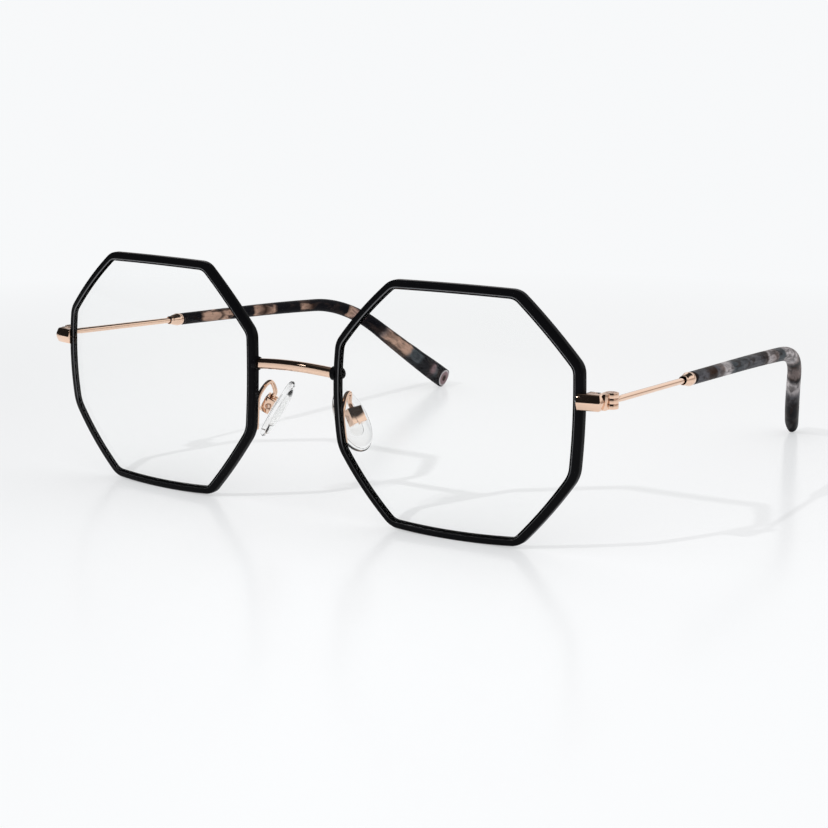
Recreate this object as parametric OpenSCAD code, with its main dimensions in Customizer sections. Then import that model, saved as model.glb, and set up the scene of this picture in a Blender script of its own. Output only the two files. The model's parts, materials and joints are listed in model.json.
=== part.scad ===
// Octagonal spectacle frame: two metal eyewires with plano lenses, a bar bridge,
// adjustable nose pads, end pieces with three-barrel hinges and folding temples.
// Millimetres. X points to the wearer's left, Y to the back of the head, Z up.
// The frame stands open on a table at Z = 0; the origin is below the middle of its length.

/* [Rims] */
// Width of one rim at its upper side corners
rim_span = 54.8; // [50:0.2:60]
// Height of one rim from its lower to its upper corners
rim_height = 50.4; // [46:0.1:56]
// Length of the top edge, corner to corner
top_flat = 28.3; // [25:0.1:32]
// How far the top edge sits towards the nose
top_shift = 0.25; // [0:0.05:1]
// Length of the bottom edge, corner to corner
bottom_flat = 29; // [25:0.1:32]
// Height of the upper side corners above the middle
side_up = 11.6; // [9:0.1:14]
// Depth of the lower side corners below the middle
side_down = 10.0; // [8:0.1:13]
// How far each lower side corner draws in
side_taper = 0.5; // [0:0.1:1.5]
// Angle that the top edge bows out at each end
top_bow = 1.8; // [0:0.1:4]
// Angle that each slanted edge bows out at each end
slope_bow = 4.8; // [0:0.1:7]
// Angle that each side edge bows out at each end
side_bow = 5; // [0:0.1:7]
// Angle that the bottom edge bows out at each end
bottom_bow = 3.2; // [0:0.1:5]
// Outer radius of the upper and bottom corners
corner_r = 4.5; // [3.5:0.1:6]
// Outer radius of the lower side corners
low_corner_r = 7.5; // [4:0.1:9]
// Radial width of the rim wire
rim_w = 1.7; // [1.5:0.1:2]
// Depth of the rim wire, front to back
rim_d = 2; // [1.9:0.1:3]
// Rounding of the rim wire's edges
rim_round = 0.5; // [0.3:0.05:0.5]
// Depth of the lens groove
groove_depth = 0.5; // [0.4:0.05:0.6]
// Width of the lens groove at its mouth
groove_w = 0.75; // [0.7:0.05:0.8]
// Width of the saw cut that lets the rim open for its lens
split_w = 0.2; // [0.1:0.05:0.3]

/* [Lenses] */
// Thickness of a lens
lens_t = 1.6; // [1.2:0.1:1.8]
// Base-curve radius of the lenses
base_radius = 128; // [100:1:300]
// How far the edge bevel reaches into the groove
bevel_h = 0.38; // [0.3:0.02:0.38]
// Thickness of the edge bevel
bevel_t = 0.5; // [0.4:0.05:0.5]
// Clearance between a lens and its rim
lens_gap = 0.05; // [0.03:0.01:0.1]

/* [Front] */
// Gap between the two rims at their upper side corners
bridge_gap = 20.8; // [18:0.2:24]
// Turn of each lens plane towards its temple
face_form = 3.4; // [1:0.1:6]
// Lean of the front over the table
front_tilt = 0.7; // [0:0.1:2]

/* [Bridge] */
// Height of the bridge bar
bridge_h = 2.2; // [1.9:0.1:2.6]
// Depth of the bridge bar
bridge_d = 1.8; // [1.4:0.1:1.9]
// Height of the bridge ends above the middle of the rims
bridge_z = 5; // [3:0.1:8]
// Rise of the bridge at its middle
bridge_rise = 0.6; // [0.2:0.1:2]
// Forward bow of the bridge at its middle
bridge_bow = 0.8; // [0.3:0.1:1.2]
// Diameter of the collar round each bridge end
collar_d = 2.9; // [2.7:0.1:3.2]
// Length of the collar that stands off the rim
collar_l = 0.6; // [0.4:0.1:1]
// Diameter of the boss on the back of the rim
boss_d = 3.1; // [2.8:0.1:3.3]

/* [End pieces] */
// Height of the end piece
end_h = 3.2; // [3:0.1:3.8]
// Height of its middle above the middle of the rims
end_z = 5.1; // [4:0.05:7]
// How far it laps over the front of the rim
end_lap = 0.8; // [0.5:0.1:1.1]
// How far its face stands in front of the rim
end_proud = 1.3; // [1.1:0.1:1.8]
// Angle at which its face turns back towards the temple
end_turn = 12; // [6:1:15]
// Depth at its inner end, back to the closing block
end_d = 2.3; // [2.2:0.1:2.6]
// How far its outer arm runs back beside the closing block
end_return = 0.55; // [0.3:0.05:0.8]
// How far it reaches outside the hinge axis
end_over = 0.2; // [0:0.1:0.6]
// Depth of the facets that fall away from its ridge
end_facet = 0.45; // [0.2:0.05:0.7]
// Bevel along its upper and lower edges
end_bevel = 0.2; // [0.1:0.05:0.3]
// Radius of its outer front corner
end_corner_r = 0.6; // [0.4:0.1:0.8]

/* [Closing blocks] */
// Width of the closing block
lug_w = 2.2; // [2.1:0.1:2.3]
// Depth of the closing block
lug_d = 2.2; // [2:0.1:2.4]
// Height of the closing block
lug_h = 2.9; // [2.6:0.1:3]
// Diameter of the closing screw's shank
lug_screw_d = 1.1; // [0.9:0.05:1.2]
// Diameter of the closing screw's head
lug_head_d = 1.8; // [1.6:0.1:2]

/* [Hinges] */
// Distance of the hinge axis outside the rim
hinge_out = 3.8; // [3.7:0.05:4.4]
// Distance of the hinge axis behind the end piece
hinge_back = 3; // [2.9:0.05:4]
// Radius of the hinge barrels
barrel_r = 1.35; // [1.2:0.05:1.35]
// Height of the outer barrels
barrel_h = 1; // [0.9:0.05:1.1]
// Height of the middle barrel
tongue_h = 1; // [0.9:0.05:1.1]
// How far the hinge leaf reaches outside the hinge axis
leaf_out = 0.2; // [0:0.1:0.6]
// Running clearance beside the middle barrel
barrel_gap = 0.05; // [0.03:0.01:0.1]
// Diameter of the hinge screw's shank
screw_d = 1.2; // [1:0.05:1.3]
// Diameter of the hinge screw's head
head_d = 1.9; // [1.7:0.05:2]
// Height of the hinge screw's head
head_h = 0.4; // [0.3:0.05:0.5]
// Radial clearance of the screw in its barrels
screw_gap = 0.03; // [0.01:0.01:0.06]

/* [Temples] */
// How far the rod runs outside the hinge axis
rod_out = 0.25; // [0:0.05:0.5]
// Diameter of the temple rod
rod_d = 1.3; // [1.2:0.1:1.5]
// Diameter of the rod's neck at the hinge
neck_d = 1.05; // [1:0.05:1.2]
// Length over which the rod grows from its neck
neck_len = 2.5; // [1.5:0.1:5]
// Diameter of the spigot that holds the rod on its hinge
spigot_d = 0.65; // [0.5:0.05:0.7]
// Distance from the hinge axis to the ferrule
rod_len = 32.8; // [26:0.2:38]
// Length of the ferrule
ferrule_len = 3.8; // [3.4:0.1:4.4]
// Distance from the hinge axis to the end of the straight run
straight_len = 60.8; // [54:0.2:66]
// Distance from the hinge axis to the start of the ear bend
bend_start = 88.4; // [80:0.2:94]
// Distance from the hinge axis to the end of the ear bend
bend_end = 113.2; // [109:0.2:117]
// Length of the temple from the hinge axis to its end
temple_len = 142.6; // [139:0.2:149]
// Inward angle of the rod, seen from above
rod_yaw = 2.2; // [0:0.1:3]
// Downward angle of the rod
rod_fall = 2.2; // [1:0.1:3]
// Inward angle at the ear bend
bend_yaw = 3.5; // [2.5:0.1:7]
// Downward angle at the ear bend
bend_fall = 3.8; // [2:0.1:5]
// Inward angle of the drop behind the ear
drop_yaw = 23.2; // [10:0.2:25]
// Downward angle of the drop behind the ear
drop_fall = 37.5; // [34:0.1:39]
// Inward angle at the very end
last_yaw = 21; // [10:0.2:25]
// Downward angle at the very end
last_fall = 34.2; // [30:0.1:38]
// Diameter of the tip at the ferrule
tip_d = 2.8; // [2.6:0.1:3.2]
// Thickness of the tip near its end
tip_end_w = 3.5; // [3:0.1:4]
// Height of the tip near its end
tip_end_h = 5.3; // [4:0.1:6]
// Diameter of the wire core in the tip
core_d = 1.2; // [1:0.1:1.3]
// Length of tip beyond the end of the core
core_short = 14; // [10:1:30]

/* [Nose pads] */
// Length of a pad
pad_len = 14.2; // [12:0.2:15]
// Width of a pad
pad_w = 7.8; // [6.5:0.1:8.5]
// Thickness of a pad
pad_t = 2.3; // [2:0.1:2.6]
// Distance of the pad centre from the middle plane
pad_x = 9.4; // [9:0.1:11]
// Distance of the pad centre behind the lens vertex
pad_y = 7.9; // [7.5:0.1:9]
// Height of the pad centre below the middle of the rims
pad_drop = 5.9; // [4:0.1:8]
// Splay of the pads away from the nose at the bottom
pad_splay = 30.5; // [22:0.5:34]
// Turn of the pads towards the back
pad_flare = 26.5; // [20:0.5:32]
// Lean of the pads to the front
pad_lean = 8.7; // [4:0.1:12]
// Diameter of the pad arm's wire
arm_d = 0.95; // [0.8:0.05:1.1]
// Diameter of the pad screw
pad_screw_d = 1.0; // [0.9:0.05:1.1]

/* [Hidden] */
$fn = 48;

black = "#17181a";
rose = "#d9a68c";
clear = "#dfe8ea";
tortoise = "#55504f";

LEFT = 1;
RIGHT = -1;
// Gap between brazed faces, so that neighbours touch without overlap
seat = 0.02;

// Places of the front, in its own upright frame
eye_x = bridge_gap / 2 + rim_span / 2;
vertex_shift = base_radius * sin(face_form);

// Depth of the lens surface behind the lens vertex, at u across and v up from the eye's centre
function surf(u, v, r = base_radius) =
    base_radius * cos(face_form) - sqrt(r * r - pow(u + vertex_shift, 2) - v * v);

// Corners of one eye, anticlockwise from the top temple corner, each with its radius
eye_corners = [
    [top_flat / 2 - top_shift, rim_height / 2], [-top_flat / 2 - top_shift, rim_height / 2],
    [-rim_span / 2, side_up], [-rim_span / 2 + side_taper, -side_down],
    [-bottom_flat / 2, -rim_height / 2], [bottom_flat / 2, -rim_height / 2],
    [rim_span / 2 - side_taper, -side_down], [rim_span / 2, side_up]];
corner_radii = [corner_r, corner_r, corner_r, low_corner_r, corner_r, corner_r, low_corner_r, corner_r];
// Bow of the edge that follows each corner
edge_bows = [top_bow, slope_bow, side_bow, slope_bow, bottom_bow, slope_bow, side_bow, slope_bow];
corner_count = len(eye_corners);
last_corner = corner_count - 1;

function unit(a) = a / norm(a);
function turned(a, b) = [a.x * cos(b) - a.y * sin(b), a.x * sin(b) + a.y * cos(b)];
function edge_normal(i) =
    let(d = unit(eye_corners[(i + 1) % corner_count] - eye_corners[i % corner_count])) [d.y, -d.x];

// Points of the arc of radius r that rounds corner p between two outward normals, each with its normal
arc_steps = 5;
function corner_arc(p, n1, n2, r) =
    let(centre = p - r * (n1 + n2) / (1 + n1 * n2), start = atan2(n1.y, n1.x),
        sweep = atan2(n1.x * n2.y - n1.y * n2.x, n1 * n2))
    [for (k = [0:arc_steps]) let(a = start + sweep * k / arc_steps, n = [cos(a), sin(a)])
        [centre + r * n, n]];
eye_arcs = [for (i = [0:last_corner]) let(before = (i + last_corner) % corner_count)
    corner_arc(eye_corners[i], turned(edge_normal(before), edge_bows[before]),
        turned(edge_normal(i), -edge_bows[i]), corner_radii[i])];

// Point of the bowed edge after corner i, at share t of its length, with its outward normal
function edge_point(i, t) =
    let(a = eye_arcs[i][arc_steps][0], d = eye_arcs[(i + 1) % corner_count][0][0] - a)
    [a + d * t + [d.y, -d.x] * tan(edge_bows[i]) * t * (1 - t),
     turned(unit([d.y, -d.x]), edge_bows[i] * (2 * t - 1))];

// Stations round the eye: points of the outer edge with their normals
edge_steps = 5;
eye_stations = [for (i = [0:last_corner])
    each concat(eye_arcs[i], [for (k = [1:edge_steps - 1]) edge_point(i, k / edge_steps)])];
middle_z = -min([for (s = eye_stations) s[0].y]);

// Point of the eye at inset q from its outer edge, lying on the lens surface with offset t
function eye_point(station, q, t) =
    let(p = station[0] - q * station[1]) [eye_x + p.x, surf(p.x, p.y) + t, middle_z + p.y];

// Section of the rim wire as inset and offset pairs, with rounded edges and the lens groove
round_steps = 2;
function round_arc(q, t, a) = [for (k = [0:round_steps]) let(b = a + 90 * k / round_steps)
    [q - rim_round * cos(b), t + rim_round * sin(b)]];
groove_floor = groove_w * 0.7;
rim_section = concat(
    round_arc(rim_round, rim_d / 2 - rim_round, 0),
    round_arc(rim_w - rim_round, rim_d / 2 - rim_round, 90),
    [[rim_w, groove_w / 2], [rim_w - groove_depth, groove_floor / 2],
     [rim_w - groove_depth, -groove_floor / 2], [rim_w, -groove_w / 2]],
    round_arc(rim_w - rim_round, -rim_d / 2 + rim_round, 180),
    round_arc(rim_round, -rim_d / 2 + rim_round, 270));

// Quads between neighbouring rings, as triangles
function strip(a, b, n) = [for (k = [0:n - 1]) let(m = (k + 1) % n)
    each [[a * n + k, b * n + k, b * n + m], [a * n + k, b * n + m, a * n + m]]];

// Closed hoop through a list of rings
module hoop(rings) {
    n = len(rings[0]);
    count = len(rings);
    polyhedron(points = [for (r = rings) each r],
        faces = [for (i = [0:count - 1]) each strip(i, (i + 1) % count, n)], convexity = 6);
}

// Solid through a list of rings, with a flat cap on each end
module loft(rings) {
    n = len(rings[0]);
    count = len(rings);
    last = (count - 1) * n;
    polyhedron(points = [for (r = rings) each r],
        faces = concat([for (k = [1:n - 2]) [0, k, k + 1]],
            [for (i = [0:count - 2]) each strip(i, i + 1, n)],
            [for (k = [1:n - 2]) [last, last + k + 1, last + k]]), convexity = 6);
}

// Nasal and temporal places that the small parts share
SIDE_EDGE = 6;
function wall_x(v) = let(a = edge_point(SIDE_EDGE, 0)[0], b = edge_point(SIDE_EDGE, 1)[0])
    edge_point(SIDE_EDGE, (v - a.y) / (b.y - a.y))[0].x;
// Furthest reach of the wall beside a block of height h at the end piece
function wall_reach(h) = max([for (k = [-1:1]) wall_x(end_z + k * h / 2)]);
nasal_x = eye_x - wall_x(bridge_z);
nasal_y = surf(nasal_x - eye_x, bridge_z);
boss_x = nasal_x - collar_l + 2 * seat + boss_d / 2;
boss_h = 0.4;
boss_root = 0.2;
temple_x = eye_x + wall_x(end_z);
temple_y = surf(temple_x - eye_x, end_z);

// Bridge
bridge_end = nasal_x - collar_l;
bridge_sag = norm([bridge_rise, bridge_bow]);
bridge_r = (bridge_end * bridge_end + bridge_sag * bridge_sag) / (2 * bridge_sag);
bridge_lean = atan2(bridge_rise, -bridge_bow);
bridge_spare = 4;
bridge_sweep = 2 * asin(bridge_end / bridge_r) + bridge_spare;

// End piece and closing block
end_in = temple_x - end_lap;
end_face = temple_y - rim_d / 2 - end_proud;
end_mid = end_face + end_d;
end_back = end_mid + end_return;
hinge_x = temple_x + hinge_out;
end_out = hinge_x + end_over;
lap_back = surf(end_in - eye_x, end_z - end_h / 2) - rim_d / 2 - seat;
lug_x = eye_x + wall_reach(lug_h) + seat;
lug_y = end_mid + seat;
arm_in = lug_x + lug_w + seat;
lug_screw_x = lug_x + lug_w / 2;
lug_screw_y = lug_y + lug_d / 2;
lug_head_h = 0.4;

// Sinks the leaning rims onto the table
rest_drop = min([for (s = eye_stations) for (p = rim_section) lean(eye_point(s, p.x, p.y)).z]);
hinge_sink = 0.07;
// Hinge axis, after the front leans over the table
function lean(p) = [p.x, p.y * cos(front_tilt) - p.z * sin(front_tilt),
    p.y * sin(front_tilt) + p.z * cos(front_tilt)];
hinge_low = lean([hinge_x, end_back + hinge_back, middle_z + end_z]);
hinge_z = hinge_low.z - rest_drop - hinge_sink;
hinge_h = 2 * barrel_h + tongue_h + 2 * barrel_gap;

// Temple centre line, from the hinge axis: heading angles along its length
function yaw(s) = lookup(s, [[0, rod_yaw], [straight_len, rod_yaw], [bend_start, bend_yaw],
    [bend_end, drop_yaw], [temple_len, last_yaw]]);
function fall(s) = lookup(s, [[0, rod_fall], [straight_len, rod_fall], [bend_start, bend_fall],
    [bend_end, drop_fall], [temple_len, last_fall]]);
function heading(s) = let(a = yaw(s), b = fall(s)) [-sin(a) * cos(b), cos(a) * cos(b), -sin(b)];
walk_steps = 140;
walk_step = temple_len / walk_steps;
walk = [for (i = 0, p = [rod_out, 0, 0]; i <= walk_steps;
    p = p + walk_step * heading((i + 0.5) * walk_step), i = i + 1) p];
function temple_point(s) = let(i = min(walk_steps - 1, floor(s / walk_step)), f = s / walk_step - i)
    walk[i] + (walk[i + 1] - walk[i]) * f;
ring_sides = 12;
function temple_ring(s, hw, hh) =
    let(a = yaw(s), b = fall(s), side = [cos(a), sin(a), 0],
        up = [-sin(a) * sin(b), cos(a) * sin(b), cos(b)])
    [for (k = [0:ring_sides - 1]) let(t = -360 * k / ring_sides)
        temple_point(s) + side * hw * cos(t) + up * hh * sin(t)];

// Half width and half height of the tip, which swells along the temple
tip_gap = 0.25;
tip_start = rod_len + ferrule_len + tip_gap;
bend_swell = 0.2;
drop_swell = 0.55;
wide_from = temple_len - 10;
high_from = temple_len - 6;
function tip_hw(s) = lookup(s, [[tip_start, tip_d / 2], [bend_start, tip_d / 2 + 0.75 * bend_swell],
    [wide_from, tip_end_w / 2], [temple_len, 0.95 * tip_end_w / 2]]);
function tip_hh(s) = lookup(s, [[tip_start, tip_d / 2], [bend_start, tip_d / 2 + bend_swell],
    [bend_end, tip_d / 2 + drop_swell], [high_from, tip_end_h / 2], [temple_len, tip_end_h / 2]]);

// Whole frame: depth from the lens vertices to the temple ends, for the origin
front_y = surf(-vertex_shift, 0) - lens_t / 2 - middle_z * sin(front_tilt);
tip_overhang = 0.35;
rear_y = hinge_low.y + walk[walk_steps].y + tip_overhang * tip_end_h / 2 * sin(drop_fall);
shift_y = -(front_y + rear_y) / 2;

// Nose pad frame: X away from the nose, Y back along the pad's width, Z up its length
plate_l = 0.55 * pad_len;
plate_w = 0.42 * pad_w;
box_w = 3.2;
box_l = 3.4;
box_d = 2.2;
box_back = pad_t / 2 + 0.35;
slot_w = 1.3;
slot_depth = 1.75;
lug_t = 1.16;
lug_r = 0.8;
insert_t = 0.5;
pad_head_h = 0.35;
pad_pivot_x = box_back + slot_depth - lug_r - 0.1;
pad_screw_head = pad_screw_d + 0.6;

// Turns a point of the nose pad frame into the upright front's frame
function turn_x(p, a) = [p.x, p.y * cos(a) - p.z * sin(a), p.y * sin(a) + p.z * cos(a)];
function turn_y(p, a) = [p.x * cos(a) + p.z * sin(a), p.y, -p.x * sin(a) + p.z * cos(a)];
function turn_z(p, a) = [p.x * cos(a) - p.y * sin(a), p.x * sin(a) + p.y * cos(a), p.z];
function from_pad(p) = [pad_x, pad_y, middle_z - pad_drop]
    + turn_z(turn_y(turn_x(p, pad_lean), -pad_splay), -pad_flare);

// Puts a part of the wearer's left side on either side, standing on the table
module placed(side) {
    mirror([side == LEFT ? 0 : 1, 0, 0]) translate([0, shift_y, 0]) children();
}

module front(side) {
    placed(side) translate([0, 0, -rest_drop]) rotate([front_tilt, 0, 0]) children();
}

module at_hinge(side) {
    placed(side) translate([hinge_low.x, hinge_low.y, hinge_z]) children();
}

module on_pad(side) {
    front(side) translate([pad_x, pad_y, middle_z - pad_drop])
        rotate([0, 0, -pad_flare]) rotate([0, -pad_splay, 0]) rotate([pad_lean, 0, 0]) children();
}

// Cylinder along Y, centred on the origin
module bar_y(r, l) {
    rotate([90, 0, 0]) cylinder(r = r, h = l, center = true);
}

// Flat outline of the eye, inset q from the rim's outer edge
module eye_outline(q) {
    polygon([for (s = eye_stations) s[0] - q * s[1]]);
}

ball_sides = 200;
// Slice of the eye's prism that lies within a thickness of the lens surface
module lens_slice(q, t) {
    translate([eye_x, 0, middle_z]) intersection() {
        translate([0, base_radius / 4, 0]) rotate([90, 0, 0])
            linear_extrude(base_radius / 2) eye_outline(q);
        translate([-vertex_shift, base_radius * cos(face_form), 0]) difference() {
            sphere(r = base_radius + t / 2, $fn = ball_sides);
            sphere(r = base_radius - t / 2, $fn = ball_sides);
        }
    }
}

module rim(side) {
    color(black) front(side) difference() {
        union() {
            hoop([for (s = eye_stations) [for (p = rim_section) eye_point(s, p.x, p.y)]]);
            translate([bridge_end, nasal_y, middle_z + bridge_z]) rotate([0, 90, 0])
                cylinder(d = collar_d, h = collar_l + groove_depth);
            translate([boss_x, nasal_y + rim_d / 2 + (boss_h - boss_root) / 2, middle_z + bridge_z])
                bar_y(boss_d / 2, boss_h + boss_root);
        }
        translate([temple_x, temple_y, middle_z + end_z])
            cube([3 * rim_w, 2 * rim_d, split_w], center = true);
    }
}

module lens(side) {
    color(clear, 0.35) front(side) {
        lens_slice(rim_w + lens_gap, lens_t);
        lens_slice(rim_w - bevel_h, bevel_t);
    }
}

module bridge() {
    color(rose) front(LEFT) intersection() {
        translate([0, nasal_y, middle_z + bridge_z]) rotate([bridge_lean, 0, 0])
            translate([0, bridge_sag - bridge_r, 0])
            rotate_extrude(angle = bridge_sweep, start = 90 - bridge_sweep / 2)
            translate([bridge_r, 0]) rotate(-bridge_lean) bridge_section();
        translate([0, nasal_y, middle_z + bridge_z])
            cube([2 * (bridge_end - seat), bridge_end, bridge_end], center = true);
    }
}

// Flattened round bar, upright
module bridge_section() {
    r = bridge_d / 2;
    rise = bridge_h / 2 - r;
    for (s = [-1, 1]) translate([0, s * rise]) circle(r = r);
    square([bridge_d, 2 * rise], center = true);
}

module closing_block(side) {
    half_h = (lug_h - split_w) / 2;
    color(black) front(side) difference() {
        for (s = [-1, 1])
            translate([lug_x, lug_y, middle_z + end_z + s * (half_h + split_w) / 2 - half_h / 2])
                cube([lug_w, lug_d, half_h]);
        translate([lug_screw_x, lug_screw_y, middle_z + end_z]) {
            cylinder(r = lug_screw_d / 2 + screw_gap, h = 2 * lug_h, center = true);
            translate([0, 0, lug_h / 2 - lug_head_h]) cylinder(r = lug_head_d / 2 + screw_gap, h = lug_h);
        }
    }
}

module closing_screw(side) {
    color(rose) front(side)
        translate([lug_screw_x, lug_screw_y, middle_z + end_z - lug_h / 2]) {
            cylinder(d = lug_screw_d, h = lug_h - lug_head_h / 2);
            translate([0, 0, lug_h - lug_head_h + seat]) slotted_head(lug_head_d, lug_head_h);
        }
}

// Screw head with a driver slot
module slotted_head(d, h) {
    difference() {
        cylinder(d = d, h = h);
        translate([0, 0, h]) cube([d + 1, d / 6, h], center = true);
    }
}

// Plan of the end piece: its face turns back, laps over the rim and ends in an arm to the hinge
module end_plan() {
    wall = eye_x + wall_reach(end_h) + seat;
    outer = [end_out, end_face + (end_out - end_in) * tan(end_turn)];
    corner = corner_arc(outer, [sin(end_turn), -cos(end_turn)], [1, 0], end_corner_r);
    polygon(concat([[end_in, end_face]], [for (c = corner) c[0]],
        [[end_out, end_back], [arm_in, end_back], [arm_in, end_mid], [wall, end_mid],
         [wall, lap_back], [end_in, lap_back]]));
}

// Ridged section across the end piece, drawn as depth and height
module end_ridge(depth) {
    polygon([[0, 0], [end_facet, end_h / 2 - end_bevel], [end_facet + end_bevel, end_h / 2],
        [depth, end_h / 2], [depth, -end_h / 2], [end_facet + end_bevel, -end_h / 2],
        [end_facet, -end_h / 2 + end_bevel]]);
}

module endpiece(side) {
    color(rose) front(side) translate([0, 0, middle_z + end_z]) intersection() {
        translate([0, 0, -end_h / 2]) linear_extrude(end_h) end_plan();
        translate([end_in, end_face, 0]) rotate([0, 0, end_turn]) translate([-1, 0, 0])
            rotate([90, 0, 90]) linear_extrude(end_out - end_in + 3) end_ridge(2 * end_d + end_return);
        translate([end_out, end_face - 1, 0]) rotate([90, 0, 180])
            linear_extrude(2 * end_d + end_return) end_ridge(end_out - end_in + 1);
    }
}

barrel_clear = 0.25;
// Leaf of a hinge: a barrel with a plate that runs forward to the end piece
module hinge_leaf(h, reach) {
    cylinder(r = barrel_r, h = h);
    translate([-barrel_r, -reach, 0]) cube([barrel_r + leaf_out, reach, h]);
}

module front_hinge(side) {
    reach = hinge_back - seat - (hinge_h + end_h) / 2 * sin(front_tilt);
    base = reach - barrel_r - barrel_clear;
    color(rose) at_hinge(side) difference() {
        union() {
            translate([0, 0, tongue_h / 2 + barrel_gap]) hinge_leaf(barrel_h, reach);
            translate([0, 0, -tongue_h / 2 - barrel_gap - barrel_h]) hinge_leaf(barrel_h, reach);
            translate([-barrel_r, -reach, -hinge_h / 2]) cube([barrel_r + leaf_out, base, hinge_h]);
        }
        cylinder(r = screw_d / 2 + screw_gap, h = 2 * hinge_h, center = true);
        translate([0, 0, hinge_h / 2 - head_h]) cylinder(r = head_d / 2 + screw_gap, h = 2 * head_h);
    }
}

module hinge_screw(side) {
    color(rose) at_hinge(side) {
        translate([0, 0, -hinge_h / 2]) cylinder(d = screw_d, h = hinge_h - head_h / 2);
        translate([0, 0, hinge_h / 2 - head_h + seat]) slotted_head(head_d, head_h);
    }
}

// Turns a shape drawn along Z to the rod's heading
module along_rod() {
    translate([rod_out, 0, 0]) rotate([0, 0, rod_yaw]) rotate([-90 - rod_fall, 0, 0]) children();
}

rod_start = barrel_r + 0.3;
spigot_root = 0.3;
spigot_len = 1.4;

module temple_hinge(side) {
    color(rose) at_hinge(side) difference() {
        union() {
            translate([0, 0, -tongue_h / 2]) {
                cylinder(r = barrel_r, h = tongue_h);
                rotate([0, 0, rod_yaw]) translate([rod_out - tongue_h / 2, 0, 0])
                    cube([tongue_h, rod_start - 2 * seat, tongue_h]);
            }
            along_rod() translate([0, 0, barrel_r - spigot_root])
                cylinder(d = spigot_d, h = spigot_len + spigot_root);
        }
        cylinder(r = screw_d / 2 + screw_gap, h = 2 * tongue_h, center = true);
    }
}

core_r = core_d / 2;
core_end = temple_len - core_short;
core_clear = 0.12;
bore_r = core_r + core_clear;
core_step = 4;
bore_step = 4.4;

module temple_rod(side) {
    color(rose) at_hinge(side) {
        along_rod() difference() {
            translate([0, 0, rod_start]) {
                cylinder(d1 = neck_d, d2 = rod_d, h = neck_len);
                translate([0, 0, neck_len]) cylinder(d = rod_d, h = tip_start - rod_start - neck_len);
            }
            cylinder(r = spigot_d / 2 + seat, h = barrel_r + spigot_len + seat);
        }
        along_rod() translate([0, 0, tip_start - 2 * tip_gap])
            cylinder(r = core_r, h = straight_len - tip_start);
        loft([for (s = [straight_len - 1:core_step:core_end]) temple_ring(s, core_r - seat, core_r - seat)]);
    }
}

module ferrule(side) {
    front_r = 0.98;
    rear_r = tip_d / 2 + 0.06;
    cup = 0.9;
    rim = 0.13;
    step = 0.1;
    ring_from = 2.4;
    ring_to = ferrule_len - 0.6;
    bore = rod_d / 2 + screw_gap;
    color(rose) at_hinge(side) along_rod() translate([0, 0, rod_len]) rotate_extrude()
        polygon([[bore, cup], [front_r - rim, 0], [front_r, rim], [rear_r - step, ring_from - step],
            [rear_r, ring_from + step], [rear_r, ring_to], [rear_r - step, ring_to + step],
            [rear_r - step, ferrule_len - step], [rear_r - 2 * step, ferrule_len], [bore, ferrule_len]]);
}

// Acetate tip: the bore for the wire core, then the outside from the ferrule to the round end
module temple_tip(side) {
    nose_r = 2.6;
    body_steps = 22;
    body_len = temple_len - nose_r - tip_start;
    bore = [for (s = [core_end + 1, each [for (k = core_end - 1; k > tip_start + 1; k = k - bore_step) k],
        tip_start]) temple_ring(s, bore_r, bore_r)];
    body = [for (k = [0:body_steps]) let(s = tip_start + body_len * k / body_steps)
        temple_ring(s, tip_hw(s), tip_hh(s))];
    end_rings = [for (a = [25, 50, 70, 82]) let(s = temple_len - nose_r + nose_r * sin(a))
        temple_ring(s, tip_hw(s) * cos(a), tip_hh(s) * (0.25 + 0.75 * cos(a)) * pow(cos(a), 0.3))];
    color(tortoise) at_hinge(side) loft(concat(bore, body, end_rings));
}

// Smooth curve through hand-picked points
function spline(p, i, t) =
    let(a = p[max(i - 1, 0)], b = p[i], c = p[i + 1], d = p[min(i + 2, len(p) - 1)])
    0.5 * (2 * b + (c - a) * t + (2 * a - 5 * b + 4 * c - d) * t * t
        + (3 * b - a - 3 * c + d) * t * t * t);
arm_steps = 5;
function smooth(p) = concat(
    [for (i = [0:len(p) - 2]) each [for (k = [0:arm_steps - 1]) spline(p, i, k / arm_steps)]],
    [p[len(p) - 1]]);

// Rings square to a path, carried along without twist
function rings_along(path, r, n) =
    let(tangent = [for (i = [0:len(path) - 1])
        unit(path[min(i + 1, len(path) - 1)] - path[max(i - 1, 0)])])
    [for (i = 0, e = unit(cross(tangent[0], [0, 1, 0.01])); i < len(path);
        i = i + 1, e = i < len(path) ? unit(e - tangent[i] * (e * tangent[i])) : e)
        let(f = cross(e, tangent[i]))
        [for (k = [0:n - 1]) let(t = -360 * k / n) path[i] + r * (e * cos(t) + f * sin(t))]];

arm_seat = 0.08;
// Route of the pad arm: up the back of the rim, over in a loop and down to the box
function foot_point(v) = [eye_x - wall_x(v) + rim_w / 2,
    surf(-wall_x(v) + rim_w / 2, v) + rim_d / 2 + arm_d / 2 + arm_seat, middle_z + v];
arm_route = [foot_point(-9.6), foot_point(-7), foot_point(-4.4),
    foot_point(-2.2) + [0, 0.5, 0], [nasal_x + 0.4, pad_y - 2.9, middle_z - 0.1],
    [nasal_x + 0.2, pad_y - 1.3, middle_z + 0.1],
    from_pad([box_back + box_d / 2, 0, box_l / 2 + 1.4]),
    from_pad([box_back + box_d / 2, 0, box_l / 2 + seat])];

module pad_arm(side) {
    color(rose) front(side) loft(rings_along(smooth(arm_route), arm_d / 2, 8));
}

module pad_box(side) {
    color(rose) on_pad(side) difference() {
        translate([box_back, -box_w / 2, -box_l / 2]) cube([box_d, box_w, box_l]);
        translate([box_back - 1, -slot_w / 2, -box_l])
            cube([1 + slot_depth, slot_w, 2 * box_l]);
        translate([pad_pivot_x, 0, 0]) bar_y(pad_screw_d / 2 + screw_gap, 2 * box_w);
    }
}

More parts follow.
